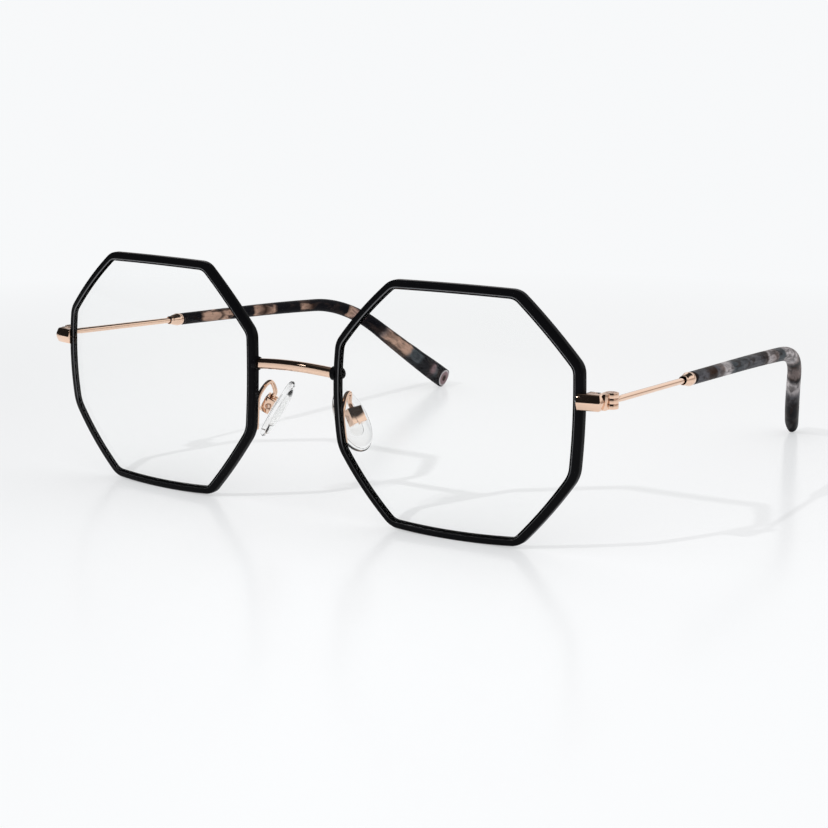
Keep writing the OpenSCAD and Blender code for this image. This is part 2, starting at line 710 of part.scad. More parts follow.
module pad_screw(side) {
    color(rose) on_pad(side) translate([pad_pivot_x, 0, 0]) rotate([-90, 0, 0]) {
        translate([0, 0, -box_w / 2]) cylinder(d = pad_screw_d, h = box_w + pad_head_h / 2);
        translate([0, 0, box_w / 2 + seat]) slotted_head(pad_screw_head, pad_head_h);
    }
}

// Moulded-in plate of a pad, with the drilled lug that the pad screw holds
module pad_insert(side) {
    color(rose) on_pad(side) {
        translate([pad_t / 2 - insert_t, 0, 0]) rotate([90, 0, 90])
            linear_extrude(insert_t - seat) insert_outline(0);
        difference() {
            union() {
                translate([pad_t / 2 - insert_t, -lug_t / 2, -lug_r])
                    cube([pad_pivot_x - pad_t / 2 + insert_t, lug_t, 2 * lug_r]);
                translate([pad_pivot_x, 0, 0]) bar_y(lug_r, lug_t);
            }
            translate([pad_pivot_x, 0, 0]) bar_y(pad_screw_d / 2 + screw_gap, 2 * lug_t);
        }
    }
}

// Round-ended outline of the moulded-in plate, grown by a clearance
module insert_outline(clearance) {
    for (s = [-1, 1]) translate([0, s * (plate_l - plate_w) / 2]) circle(r = plate_w / 2 + clearance);
    square([plate_w + 2 * clearance, plate_l - plate_w], center = true);
}

// Outline of the pad at depth x, shrunk by k; the pad is wider below than above
pad_sides = 24;
pad_egg = 0.1;
pad_rim = 0.8;
function pad_ring(x, k) = [for (i = [0:pad_sides - 1]) let(t = -360 * i / pad_sides,
    egg = 1 - pad_egg * sin(t)) [x, k * pad_w / 2 * cos(t) * egg, k * pad_len / 2 * sin(t)]];

module nose_pad(side) {
    rim_x = pad_t / 2 - pad_rim;
    rings = concat([pad_ring(pad_t / 2, 0.82), pad_ring(pad_t / 2 - 0.3 * pad_rim, 0.93)],
        [for (a = [0, 20, 40, 58, 74]) pad_ring(rim_x - (pad_t - pad_rim) * sin(a), cos(a))]);
    color(clear, 0.5) on_pad(side) difference() {
        loft(rings);
        translate([pad_t / 2 - insert_t - seat, 0, 0]) rotate([90, 0, 90])
            linear_extrude(insert_t + 1) insert_outline(seat);
    }
}

rim(LEFT);  // rim_left
rim(RIGHT);  // rim_right
lens(LEFT);  // lens_left
lens(RIGHT);  // lens_right
bridge();
closing_block(LEFT);  // closing_block_left
closing_block(RIGHT);  // closing_block_right
closing_screw(LEFT);  // closing_screw_left
closing_screw(RIGHT);  // closing_screw_right
endpiece(LEFT);  // endpiece_left
endpiece(RIGHT);  // endpiece_right
front_hinge(LEFT);  // front_hinge_left
front_hinge(RIGHT);  // front_hinge_right
hinge_screw(LEFT);  // hinge_screw_left
hinge_screw(RIGHT);  // hinge_screw_right
temple_hinge(LEFT);  // temple_hinge_left
temple_hinge(RIGHT);  // temple_hinge_right
temple_rod(LEFT);  // temple_rod_left
temple_rod(RIGHT);  // temple_rod_right
ferrule(LEFT);  // ferrule_left
ferrule(RIGHT);  // ferrule_right
temple_tip(LEFT);  // temple_tip_left
temple_tip(RIGHT);  // temple_tip_right
pad_arm(LEFT);  // pad_arm_left
pad_arm(RIGHT);  // pad_arm_right
pad_box(LEFT);  // pad_box_left
pad_box(RIGHT);  // pad_box_right
pad_screw(LEFT);  // pad_screw_left
pad_screw(RIGHT);  // pad_screw_right
pad_insert(LEFT);  // pad_insert_left
pad_insert(RIGHT);  // pad_insert_right
nose_pad(LEFT);  // nose_pad_left
nose_pad(RIGHT);  // nose_pad_right
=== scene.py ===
"""Octagonal spectacles with clear lenses, rose-gold fittings and marbled tips.

Pieces of the front are drawn in millimetres in its upright frame, on the wearer's left. Pieces of
a temple are drawn straight, in millimetres, and are then bent along the temple's line. Each is
placed in metres at the end, on either side.
"""
import json
import logging
import math
from dataclasses import dataclass
from enum import Enum
from typing import ClassVar, Iterable, Sequence

import bmesh
import bpy
from bmesh.types import BMEdge, BMesh, BMVert
from mathutils import Matrix, Vector


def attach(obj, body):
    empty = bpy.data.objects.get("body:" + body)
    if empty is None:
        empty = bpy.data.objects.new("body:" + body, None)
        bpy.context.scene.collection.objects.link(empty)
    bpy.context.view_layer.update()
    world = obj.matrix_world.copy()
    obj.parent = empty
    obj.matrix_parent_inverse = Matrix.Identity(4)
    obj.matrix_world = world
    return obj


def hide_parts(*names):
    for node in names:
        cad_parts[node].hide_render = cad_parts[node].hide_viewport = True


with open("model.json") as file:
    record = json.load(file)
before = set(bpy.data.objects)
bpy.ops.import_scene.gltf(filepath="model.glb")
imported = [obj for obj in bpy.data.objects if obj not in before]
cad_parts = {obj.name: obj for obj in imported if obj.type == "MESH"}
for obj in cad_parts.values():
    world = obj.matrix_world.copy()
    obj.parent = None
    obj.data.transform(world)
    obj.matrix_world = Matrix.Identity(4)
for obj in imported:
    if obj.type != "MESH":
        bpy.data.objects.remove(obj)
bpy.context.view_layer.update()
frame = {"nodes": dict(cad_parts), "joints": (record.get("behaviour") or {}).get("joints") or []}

log = logging.getLogger("spectacles")
MM = 0.001

# Distances under which vertices become one, in the units of the mesh that they close.
RING_GAP = 0.002
POLE_GAP = 0.001
WELD_GAP = 1e-6

# Radius that stands for the axis in a turned profile, in millimetres.
AXIS_R = 0.001

# Angle in degrees under which neighbouring triangles of a solid are one flat face.
FLAT_ANGLE = 1.0

BLACK = (0, 0, 0)
WHITE = (1, 1, 1)


class Side(Enum):
    """Side of the wearer's face that a piece belongs to."""

    LEFT = 1
    RIGHT = -1

    @property
    def word(self) -> str:
        """The side's name, as the solids spell it."""
        return self.name.lower()

    @property
    def mirror(self) -> Matrix:
        """Matrix that takes a shape of the wearer's left to this side."""
        return Matrix.Diagonal((self.value, 1, 1, 1))


def rounded_outline(corners: Sequence[tuple[float, float, float]], steps: int = 5) -> list[Vector]:
    """Draws a closed outline with rounded corners.

    Args:
        corners: X, Y and radius of each corner, in order.
        steps: Number of chords that round one corner.

    Returns:
        The outline's points in the XY plane.
    """
    points = []
    for index, (x, y, radius) in enumerate(corners):
        here = Vector((x, y))
        before = Vector(corners[index - 1][:2]) - here
        after = Vector(corners[(index + 1) % len(corners)][:2]) - here
        if radius <= 0:
            points.append(here.to_3d())
            continue
        before.normalize()
        after.normalize()
        half = before.angle(after) / 2
        centre = here + (before + after).normalized() * (radius / math.sin(half))
        start = here + before * (radius / math.tan(half)) - centre
        turn = start.angle_signed(here + after * (radius / math.tan(half)) - centre)
        for step in range(steps + 1):
            spoke = Matrix.Rotation(-turn * step / steps, 2) @ start
            points.append((centre + spoke).to_3d())
    return points


def swept(profile: Sequence[Vector], places: Sequence[Matrix], ring: bool = False,
          loop: bool = True) -> BMesh:
    """Extrudes a profile from place to place.

    Args:
        profile: The profile's points, in its own frame.
        places: Matrices that set the profile at each station.
        ring: True if the last station joins the first.
        loop: True if the profile is closed.

    Returns:
        A mesh that is capped at both ends, unless it is a ring or its profile is open.
    """
    bm = bmesh.new()
    verts = [bm.verts.new(places[0] @ point) for point in profile]
    pairs = zip(verts, verts[1:] + verts[:1]) if loop else zip(verts, verts[1:])
    edges = [bm.edges.new(pair) for pair in pairs]
    targets = list(places[1:]) + (list(places[:1]) if ring else [])
    for before, here in zip(places, targets):
        grown = bmesh.ops.extrude_edge_only(bm, edges=edges)["geom"]
        fresh = {item for item in grown if isinstance(item, BMVert)}
        edges = [item for item in grown
                 if isinstance(item, BMEdge) and fresh.issuperset(item.verts)]
        bmesh.ops.transform(bm, matrix=here @ before.inverted(), verts=list(fresh))
    if ring or not loop:
        bmesh.ops.remove_doubles(bm, verts=bm.verts, dist=RING_GAP)
    else:
        bmesh.ops.holes_fill(bm, edges=bm.edges, sides=0)
    bmesh.ops.recalc_face_normals(bm, faces=bm.faces)
    return bm


def turned(profile: Sequence[tuple[float, float]], steps: int = 40) -> BMesh:
    """Turns a closed profile round the Z axis, as on a lathe.

    Args:
        profile: Radius and height of each point, in order.
        steps: Number of facets round the axis.

    Returns:
        The turned mesh.
    """
    bm = bmesh.new()
    verts = [bm.verts.new((radius, 0, height)) for radius, height in profile]
    edges = [bm.edges.new(pair) for pair in zip(verts, verts[1:] + verts[:1])]
    bmesh.ops.spin(bm, geom=verts + edges, cent=(0, 0, 0), axis=(0, 0, 1), angle=math.tau,
                   steps=steps, use_merge=True)
    bmesh.ops.remove_doubles(bm, verts=bm.verts, dist=POLE_GAP)
    bmesh.ops.recalc_face_normals(bm, faces=bm.faces)
    return bm


def joined(parts: Iterable[BMesh]) -> BMesh:
    """Puts several meshes into one.

    Args:
        parts: The meshes, which are freed.

    Returns:
        One mesh that holds them all.
    """
    whole = bmesh.new()
    for part in parts:
        held = bpy.data.meshes.new("held")
        part.to_mesh(held)
        part.free()
        whole.from_mesh(held)
        bpy.data.meshes.remove(held)
    return whole


def circle(radius: float, sides: int) -> list[Vector]:
    """Lists the points of a circle in the XY plane."""
    angles = (math.tau * side / sides for side in range(sides))
    return [Vector((radius * math.cos(angle), radius * math.sin(angle), 0)) for angle in angles]


def between(table: Sequence[tuple[float, float]], at: float) -> float:
    """Reads a table of places and values by straight lines.

    Args:
        table: Rising places, each with its value.
        at: Place to read at.

    Returns:
        The value there, or the last value past the table's end.
    """
    for (low, first), (high, last) in zip(table, table[1:]):
        if at <= high:
            return first + (last - first) * max(0.0, at - low) / (high - low)
    return table[-1][1]


def rounded_edges(bm: BMesh, edges: Sequence[BMEdge], width: float, segments: int) -> None:
    """Rounds edges over a width in the mesh's own units."""
    bmesh.ops.bevel(bm, geom=edges, offset=width, segments=segments, profile=0.5,
                    affect="EDGES", clamp_overlap=True, material=-1)


def softened(node: str, width: float, segments: int = 2, angle: float = 30.0) -> BMesh:
    """Copies a solid of the frame and rounds its sharp edges.

    Args:
        node: Name of the solid.
        width: Width of the rounding, in millimetres.
        segments: Number of facets across the rounding.
        angle: Angle in degrees above which an edge is sharp.

    Returns:
        The rounded copy, in metres.
    """
    bm = bmesh.new()
    bm.from_mesh(frame["nodes"][node].data)
    bmesh.ops.remove_doubles(bm, verts=bm.verts, dist=WELD_GAP)
    flat = math.radians(FLAT_ANGLE)
    bmesh.ops.dissolve_limit(bm, angle_limit=flat, verts=bm.verts, edges=bm.edges)
    sharp = [edge for edge in bm.edges if edge.calc_face_angle(0) > math.radians(angle)]
    rounded_edges(bm, sharp, width * MM, segments)
    return bm


class NodeBench:
    """Adds and wires the nodes of one node tree."""

    # Places of a colour mix's sockets among the node's hidden ones.
    MIX_INPUTS = (0, 6, 7)
    MIX_OUTPUT = 2

    def __init__(self, tree: bpy.types.NodeTree) -> None:
        """Takes the node tree of a material, world or group to work on."""
        self.tree = tree

    def add(self, kind: str, inputs: dict | None = None, **settings: object) -> bpy.types.Node:
        """Adds a node.

        Args:
            kind: The node's type name.
            inputs: Values or source sockets, by input name or index.
            settings: The node's own settings.

        Returns:
            The new node.
        """
        node = self.tree.nodes.new(kind)
        for key, value in settings.items():
            setattr(node, key, value)
        for key, value in (inputs or {}).items():
            if isinstance(value, bpy.types.NodeSocket):
                self.tree.links.new(value, node.inputs[key])
            else:
                node.inputs[key].default_value = value
        return node

    def noise(self, where: bpy.types.NodeSocket, scale: float, detail: float = 3.0,
              distortion: float = 0.0) -> bpy.types.NodeSocket:
        """Adds a noise texture and gives its factor.

        Args:
            where: Coordinates that the noise reads.
            scale: Waves per unit of the coordinates.
            detail: Number of finer layers.
            distortion: How far the noise bends itself.

        Returns:
            The socket of the noise's factor.
        """
        node = self.add("ShaderNodeTexNoise", {"Vector": where, "Scale": scale, "Detail": detail,
                                               "Distortion": distortion})
        return node.outputs["Fac"]

    def calc(self, first: object, second: object, operation: str = "ADD") -> bpy.types.NodeSocket:
        """Adds a math node for two values or sockets and gives the socket of its result."""
        return self.add("ShaderNodeMath", {0: first, 1: second}, operation=operation).outputs[0]

    def ramp(self, factor: bpy.types.NodeSocket, stops: Sequence[tuple[float, tuple]]
             ) -> bpy.types.NodeSocket:
        """Adds a colour ramp.

        Args:
            factor: Socket that the ramp reads.
            stops: Place and linear colour of each stop, in rising order.

        Returns:
            The socket of the ramp's colour.
        """
        node = self.add("ShaderNodeValToRGB", {"Fac": factor})
        elements = node.color_ramp.elements
        elements[0].position, elements[1].position = stops[0][0], stops[-1][0]
        elements[0].color, elements[1].color = (*stops[0][1], 1), (*stops[-1][1], 1)
        for place, colour in stops[1:-1]:
            elements.new(place).color = (*colour, 1)
        return node.outputs["Color"]

    def direct_view(self) -> bpy.types.NodeSocket:
        """Tells the rays that come straight from the camera or through glass alone.

        Returns:
            The socket of a value that is 1 for such rays and 0 for others.
        """
        path = self.add("ShaderNodeLightPath").outputs
        bounces = self.calc(path["Glossy Depth"], path["Diffuse Depth"])
        seen = self.calc(path["Is Camera Ray"], path["Is Transmission Ray"], "MAXIMUM")
        return self.calc(seen, self.calc(bounces, 0.5, "LESS_THAN"), "MULTIPLY")

    def blend(self, factor: object, first: object, second: object) -> bpy.types.NodeSocket:
        """Adds a colour mix.

        Args:
            factor: Share of the second colour.
            first: First colour or socket.
            second: Second colour or socket.

        Returns:
            The socket of the mixed colour.
        """
        node = self.add("ShaderNodeMix", data_type="RGBA")
        for index, value in zip(self.MIX_INPUTS, (factor, first, second)):
            if isinstance(value, bpy.types.NodeSocket):
                self.tree.links.new(value, node.inputs[index])
            elif isinstance(value, tuple):
                node.inputs[index].default_value = (*value, 1)
            else:
                node.inputs[index].default_value = value
        return node.outputs[self.MIX_OUTPUT]


# Span of a noise that becomes the gloss's span, how much finer the relief is, and its depth in
# metres.
GRAIN_SPAN = (0.3, 0.7)
RELIEF_TIMES = 5.0
RELIEF_DEPTH = 0.0001


def surface_grain() -> bpy.types.NodeTree:
    """Gives the group that varies gloss and relief finely over a surface, built once.

    Returns:
        A group with inputs Scale, Low, High and Relief and outputs Roughness and Normal.
    """
    tree = bpy.data.node_groups.get("surface_grain")
    if tree:
        return tree
    tree = bpy.data.node_groups.new("surface_grain", "ShaderNodeTree")
    for name in ("Scale", "Low", "High", "Relief"):
        tree.interface.new_socket(name, in_out="INPUT", socket_type="NodeSocketFloat")
    tree.interface.new_socket("Roughness", in_out="OUTPUT", socket_type="NodeSocketFloat")
    tree.interface.new_socket("Normal", in_out="OUTPUT", socket_type="NodeSocketVector")
    bench = NodeBench(tree)
    given = bench.add("NodeGroupInput").outputs
    where = bench.add("ShaderNodeTexCoord").outputs["Object"]
    coarse = bench.add("ShaderNodeTexNoise", {"Vector": where, "Scale": given["Scale"],
                                              "Detail": 2.0})
    gloss = bench.add("ShaderNodeMapRange", {
        "Value": coarse.outputs["Fac"], "From Min": GRAIN_SPAN[0], "From Max": GRAIN_SPAN[1],
        "To Min": given["Low"], "To Max": given["High"]})
    fine_scale = bench.calc(given["Scale"], RELIEF_TIMES, "MULTIPLY")
    fine = bench.add("ShaderNodeTexNoise", {"Vector": where, "Scale": fine_scale, "Detail": 3.0})
    bump = bench.add("ShaderNodeBump", {"Height": fine.outputs["Fac"], "Strength": given["Relief"],
                                        "Distance": RELIEF_DEPTH})
    bench.add("NodeGroupOutput", {"Roughness": gloss.outputs["Result"],
                                  "Normal": bump.outputs["Normal"]})
    return tree


@dataclass(frozen=True)
class Finish:
    """Finish with a finely varied gloss, which each kind of surface builds upon."""

    name: str
    slot: str
    colour: tuple[float, float, float]
    gloss: tuple[float, float] = (0.2, 0.3)
    grain: float = 700.0
    relief: float = 0.1

    def material(self) -> bpy.types.Material:
        """Gives the finish's material, built once.

        Returns:
            The material.
        """
        made = bpy.data.materials.get(self.name)
        if made:
            return made
        made = bpy.data.materials.new(self.name)
        made.use_nodes = True
        bench = NodeBench(made.node_tree)
        shader = made.node_tree.nodes["Principled BSDF"]
        grain = bench.add("ShaderNodeGroup", node_tree=surface_grain())
        low, high = self.gloss
        given = {"Scale": self.grain, "Low": low, "High": high, "Relief": self.relief}
        for key, value in given.items():
            grain.inputs[key].default_value = value
        bench.tree.links.new(grain.outputs["Roughness"], shader.inputs["Roughness"])
        bench.tree.links.new(grain.outputs["Normal"], shader.inputs["Normal"])
        self.dress(bench, shader)
        return made

    def dress(self, bench: NodeBench, shader: bpy.types.Node) -> None:
        """Sets on the Principled node what makes a finish its own, here its colour alone."""
        shader.inputs["Base Color"].default_value = (*self.colour, 1)


@dataclass(frozen=True)
class SatinPaint(Finish):
    """Black satin paint whose tone drifts a little along the wire."""

    ior: float = 1.12
    drift: float = 60.0
    paler: float = 1.5

    def dress(self, bench: NodeBench, shader: bpy.types.Node) -> None:
        """Sets a soft sheen over a slightly uneven black.

        Args:
            bench: Bench of the material's tree.
            shader: The material's Principled node.
        """
        where = bench.add("ShaderNodeTexCoord").outputs["Object"]
        drift = bench.noise(where, self.drift)
        paler = tuple(channel * self.paler for channel in self.colour)
        bench.tree.links.new(bench.blend(drift, self.colour, paler), shader.inputs["Base Color"])
        shader.inputs["IOR"].default_value = self.ior


@dataclass(frozen=True)
class PolishedMetal(Finish):
    """Plated metal whose tint warms and pales in faint drifts."""

    drift: float = 350.0
    warmth: tuple[float, float, float] = (1.0, 0.93, 0.88)

    def dress(self, bench: NodeBench, shader: bpy.types.Node) -> None:
        """Sets the metal and its drifting tint.

        Args:
            bench: Bench of the material's tree.
            shader: The material's Principled node.
        """
        where = bench.add("ShaderNodeTexCoord").outputs["Object"]
        drift = bench.noise(where, self.drift)
        warmer = tuple(channel * share for channel, share in zip(self.colour, self.warmth))
        bench.tree.links.new(bench.blend(drift, self.colour, warmer), shader.inputs["Base Color"])
        shader.inputs["Metallic"].default_value = 1.0


@dataclass(frozen=True)
class ClearGlass(Finish):
    """Clear glass or silicone that lets most of the lamps' light pass."""

    ior: float = 1.5
    shade: float = 0.1

    def dress(self, bench: NodeBench, shader: bpy.types.Node) -> None:
        """Sets the glass, and thins its shadow.

        Args:
            bench: Bench of the material's tree.
            shader: The material's Principled node.
        """
        shader.inputs["Base Color"].default_value = (*self.colour, 1)
        shader.inputs["Transmission Weight"].default_value = 1.0
        shader.inputs["IOR"].default_value = self.ior
        shadow = bench.add("ShaderNodeLightPath").outputs["Is Shadow Ray"]
        light = bench.add("ShaderNodeBsdfTransparent")
        passed = bench.calc(shadow, 1 - self.shade, "MULTIPLY")
        both = {0: passed, 1: shader.outputs[0], 2: light.outputs[0]}
        mix = bench.add("ShaderNodeMixShader", both)
        out = bench.tree.nodes["Material Output"]
        bench.tree.links.new(mix.outputs[0], out.inputs["Surface"])


@dataclass(frozen=True)
class Waves:
    """Noise that is stretched along a temple."""

    scale: float
    detail: float
    wobble: float
    stretch: tuple[float, float, float]

    def value(self, bench: NodeBench, straight: bpy.types.NodeSocket) -> bpy.types.NodeSocket:
        """Adds the noise at a place on the straight temple and gives the socket of its factor."""
        slim = bench.add("ShaderNodeMapping", {"Vector": straight, "Scale": self.stretch})
        return bench.noise(slim.outputs[0], self.scale, self.detail, self.wobble)


@dataclass(frozen=True)
class Flecks(Waves):
    """Patches where such a noise rises over a threshold."""

    low: float
    high: float

    def mask(self, bench: NodeBench, straight: bpy.types.NodeSocket, share: float
             ) -> bpy.types.NodeSocket:
        """Gives the socket of a mask that is the share in the patches and 0 between them."""
        patches = bench.ramp(self.value(bench, straight), [(self.low, BLACK), (self.high, WHITE)])
        return bench.calc(patches, share, "MULTIPLY")


WANDER = Waves(0.35, 3.0, 0.8, (1.0, 1.0, 0.45))
CLOUDS = Flecks(0.36, 3.0, 1.0, (1.0, 1.0, 0.45), 0.5, 0.62)
SWIRLS = Flecks(0.42, 2.0, 1.5, (1.0, 1.0, 0.45), 0.52, 0.6)
STREAKS = Flecks(0.9, 4.0, 0.6, (1.5, 1.5, 0.4), 0.47, 0.6)

INK = (0.006, 0.006, 0.008)
UMBER = (0.03, 0.014, 0.009)
SMOKE = (0.105, 0.103, 0.115)
SLATE = (0.062, 0.073, 0.082)
TAUPE = (0.2, 0.155, 0.145)
MIST = (0.52, 0.48, 0.485)
BLUSH = (0.5, 0.32, 0.24)
MAUVE = (0.26, 0.17, 0.18)


@dataclass(frozen=True)
class MarbledAcetate(Finish):
    """Polished acetate with dark, taupe and blush patches that run along the temple.

    Its bands are places in millimetres from the hinge axis, each with its colour.
    """

    bands: tuple[tuple[float, tuple[float, float, float]], ...] = ()
    length: float = 142.6
    wander: float = 3.0
    cloud: float = 0.5
    swirl: float = 0.7
    streak: float = 0.3
    ior: float = 1.08
    border: float = 0.85
    border_wave: float = 4.0
    border_span: tuple[float, float] = (0.5, 0.75)
    border_places: tuple[float, float] = (80.0, 136.0)
    border_halves: tuple[float, float] = (1.45, 2.1)
    facet_z: float = 140.3
    facet_steep: tuple[float, float] = (0.42, 0.46)
    facet_inside: float = 0.75
    facet_rings: tuple[tuple[float, tuple[float, float, float]], ...] = (
        (0.0, UMBER), (0.08, UMBER), (0.2, MAUVE), (0.55, MAUVE), (0.75, MIST), (0.95, MIST))

    def dress(self, bench: NodeBench, shader: bpy.types.Node) -> None:
        """Sets wandering bands, then clouds, swirls, streaks, dark edges and the facet over them.

        Args:
            bench: Bench of the material's tree.
            shader: The material's Principled node.
        """
        straight = bench.add("ShaderNodeAttribute", attribute_name="straight").outputs["Vector"]
        parts = bench.add("ShaderNodeSeparateXYZ", {0: straight}).outputs
        wander = bench.calc(WANDER.value(bench, straight), 0.5, "SUBTRACT")
        shifted = bench.calc(parts["Z"], bench.calc(wander, self.wander * 2, "MULTIPLY"))
        share = bench.calc(shifted, self.length, "DIVIDE")
        colour = bench.ramp(share, [(place / self.length, tone) for place, tone in self.bands])
        for flecks, strength, tone in ((CLOUDS, self.cloud, self.colour),
                                       (SWIRLS, self.swirl, self.bands[0][1]),
                                       (STREAKS, self.streak, INK)):
            colour = bench.blend(flecks.mask(bench, straight, strength), colour, tone)
        colour = bench.blend(self.border_mask(bench, parts, wander), colour, INK)
        colour = self.faceted(bench, parts, colour)
        bench.tree.links.new(colour, shader.inputs["Base Color"])
        shader.inputs["IOR"].default_value = self.ior

    def border_mask(self, bench: NodeBench, parts: bpy.types.bpy_prop_collection,
                    wander: bpy.types.NodeSocket) -> bpy.types.NodeSocket:
        """Finds the tip's upper and lower edge, along a wandering line.

        Args:
            bench: Bench of the material's tree.
            parts: Outputs that give the straight place's X, Y and Z.
            wander: Socket of a noise about 0.

        Returns:
            The socket of the edges' mask.
        """
        ends = {"From Min": self.border_places[0], "From Max": self.border_places[1],
                "To Min": self.border_halves[0], "To Max": self.border_halves[1]}
        half = bench.add("ShaderNodeMapRange", {"Value": parts["Z"], **ends}).outputs["Result"]
        height = bench.calc(parts["Y"], bench.calc(wander, self.border_wave, "MULTIPLY"))
        share = bench.calc(bench.calc(height, 0.0, "ABSOLUTE"), half, "DIVIDE")
        dark = bench.ramp(share, [(self.border_span[0], BLACK), (self.border_span[1], WHITE)])
        return bench.calc(dark, self.border, "MULTIPLY")

    def faceted(self, bench: NodeBench, parts: bpy.types.bpy_prop_collection,
                beside: bpy.types.NodeSocket) -> bpy.types.NodeSocket:
        """Shows the inner layers as an oval on the facet at the tip's end.

        Args:
            bench: Bench of the material's tree.
            parts: Outputs that give the straight place's X, Y and Z.
            beside: Socket of the colour beside the facet.

        Returns:
            The socket of the colour with the oval.
        """
        steep_y, steep_z = self.facet_steep
        down = bench.calc(bench.calc(parts["Z"], self.facet_z, "SUBTRACT"), steep_z, "MULTIPLY")
        across = bench.calc(parts["Y"], steep_y, "MULTIPLY")
        radius = bench.calc(bench.calc(down, 2.0, "POWER"), bench.calc(across, 2.0, "POWER"))
        oval = bench.ramp(radius, self.facet_rings)
        inner = bench.calc(parts["X"], self.facet_inside, "LESS_THAN")
        near = bench.calc(bench.calc(radius, 1.0, "LESS_THAN"), inner, "MULTIPLY")
        return bench.blend(near, beside, oval)


EYEWIRE_PAINT = SatinPaint(
    "satin_black_paint", "eyewire", (0.003, 0.003, 0.0035),
    gloss=(0.2, 0.26), grain=500.0, relief=0.03)
# Paler, glossier grey finish on the rims' inner front corner: a painted highlight line.
PAINTED_HIGHLIGHT_LINE = PolishedMetal(
    "painted_highlight_corner", "eyewire", (0.12, 0.124, 0.132),
    gloss=(0.15, 0.25), grain=500.0, relief=0.03)
ROSE_GOLD = PolishedMetal(
    "rose_gold_plate", "rose_metal", (0.85, 0.62, 0.48),
    gloss=(0.03, 0.07), grain=500.0, relief=0.02)
SCREW_METAL = PolishedMetal(
    "screw_plate", "screw", (0.78, 0.58, 0.47),
    gloss=(0.18, 0.3), grain=900.0, relief=0.1)
LENS_GLASS = ClearGlass(
    "clear_lens", "lens", (0.995, 1.0, 0.998),
    gloss=(0.0, 0.01), grain=20.0, relief=0.0, ior=1.2, shade=0.02)
# Near-black lens edge that reflects nothing: painted shade of the black groove round it.
LENS_EDGE_SHADE = SatinPaint(
    "lens_edge_painted_shade", "lens", (0.004, 0.004, 0.004),
    gloss=(0.45, 0.55), grain=900.0, relief=0.1, ior=1.0)
PLATE_PLASTIC = ClearGlass(
    "clear_plate", "pad", (0.98, 0.98, 0.975),
    gloss=(0.05, 0.12), grain=300.0, relief=0.1, ior=1.12, shade=0.2)
PAD_SILICONE = ClearGlass(
    "clear_silicone", "pad", (0.985, 0.985, 0.98),
    gloss=(0.02, 0.08), grain=250.0, relief=0.1, ior=1.25, shade=0.2)
NEAR_ACETATE = MarbledAcetate(
    "smoky_marble", "acetate", MIST,
    gloss=(0.3, 0.4), grain=400.0, relief=0.03,
    wander=1.8, cloud=0.1, swirl=0.5, streak=0.45, border=0.3,
    bands=((37, UMBER), (37.3, INK), (37.7, SMOKE), (42, SMOKE), (44, UMBER), (47.5, UMBER),
           (48.5, SMOKE), (51.5, TAUPE), (52.5, MIST), (56, MIST), (57.5, SLATE), (73, SMOKE),
           (74.5, INK), (77.5, UMBER), (78.5, MIST), (83, TAUPE), (84.5, SLATE), (88, SLATE),
           (89.5, MIST), (98, MIST), (101, TAUPE), (101.8, INK), (104, UMBER), (105.5, TAUPE),
           (111, TAUPE), (112.5, UMBER), (113.5, INK), (114.8, MIST), (118.5, MIST),
           (120.5, SMOKE), (125, INK)))
FAR_ACETATE = MarbledAcetate(
    "blush_marble", "acetate", BLUSH,
    gloss=(0.3, 0.4), grain=400.0, relief=0.03,
    wander=1.6, cloud=0.04, swirl=0.4, streak=0.25,
    bands=((43.2, INK), (43.8, BLUSH), (49.5, BLUSH), (50.3, INK), (51.6, BLUSH), (54, BLUSH),
           (54.6, INK), (62.6, INK), (63.2, BLUSH), (66.8, UMBER), (70.8, BLUSH), (71.4, INK),
           (81, INK), (81.6, BLUSH), (86, UMBER), (87, INK), (100.4, INK), (101, BLUSH),
           (106, MAUVE), (107, INK), (114, INK), (115, TAUPE), (117, BLUSH), (124.5, BLUSH),
           (125.5, SLATE), (129, SLATE), (130, INK), (133.5, INK), (134.5, MAUVE), (136, SLATE),
           (137, INK)))


@dataclass(frozen=True)
class Piece:
    """What a finished mesh is called, rides on, stands for and is made of."""

    name: str
    body: str
    nodes: tuple[str, ...]
    finish: Finish
    sharp: float = 35.0
    second: Finish | None = None

    def publish(self, bm: BMesh, place: Matrix | None = None) -> bpy.types.Object:
        """Makes the object, sets it in its place, hides the solids it stands for and hangs it on
        its body.

        Args:
            bm: The piece's mesh, which is freed.
            place: Matrix to metres, or None if the mesh is in metres already.

        Returns:
            The finished object.
        """
        if place is not None:
            bmesh.ops.transform(bm, matrix=place, verts=bm.verts)
            bmesh.ops.recalc_face_normals(bm, faces=bm.faces)
        for edge in bm.edges:
            edge.smooth = edge.calc_face_angle(0) < math.radians(self.sharp)
        for face in bm.faces:
            face.smooth = True
        mesh = bpy.data.meshes.new(self.name)
        bm.to_mesh(mesh)
        bm.free()
        mesh.materials.append(self.finish.material())
        if self.second:
            mesh.materials.append(self.second.material())
        made = bpy.data.objects.new(self.name, mesh)
        bpy.context.scene.collection.objects.link(made)
        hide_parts(*self.nodes)
        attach(made, self.body)
        log.info("%s: %d faces on %s", self.name, len(mesh.polygons), self.body)
        return made


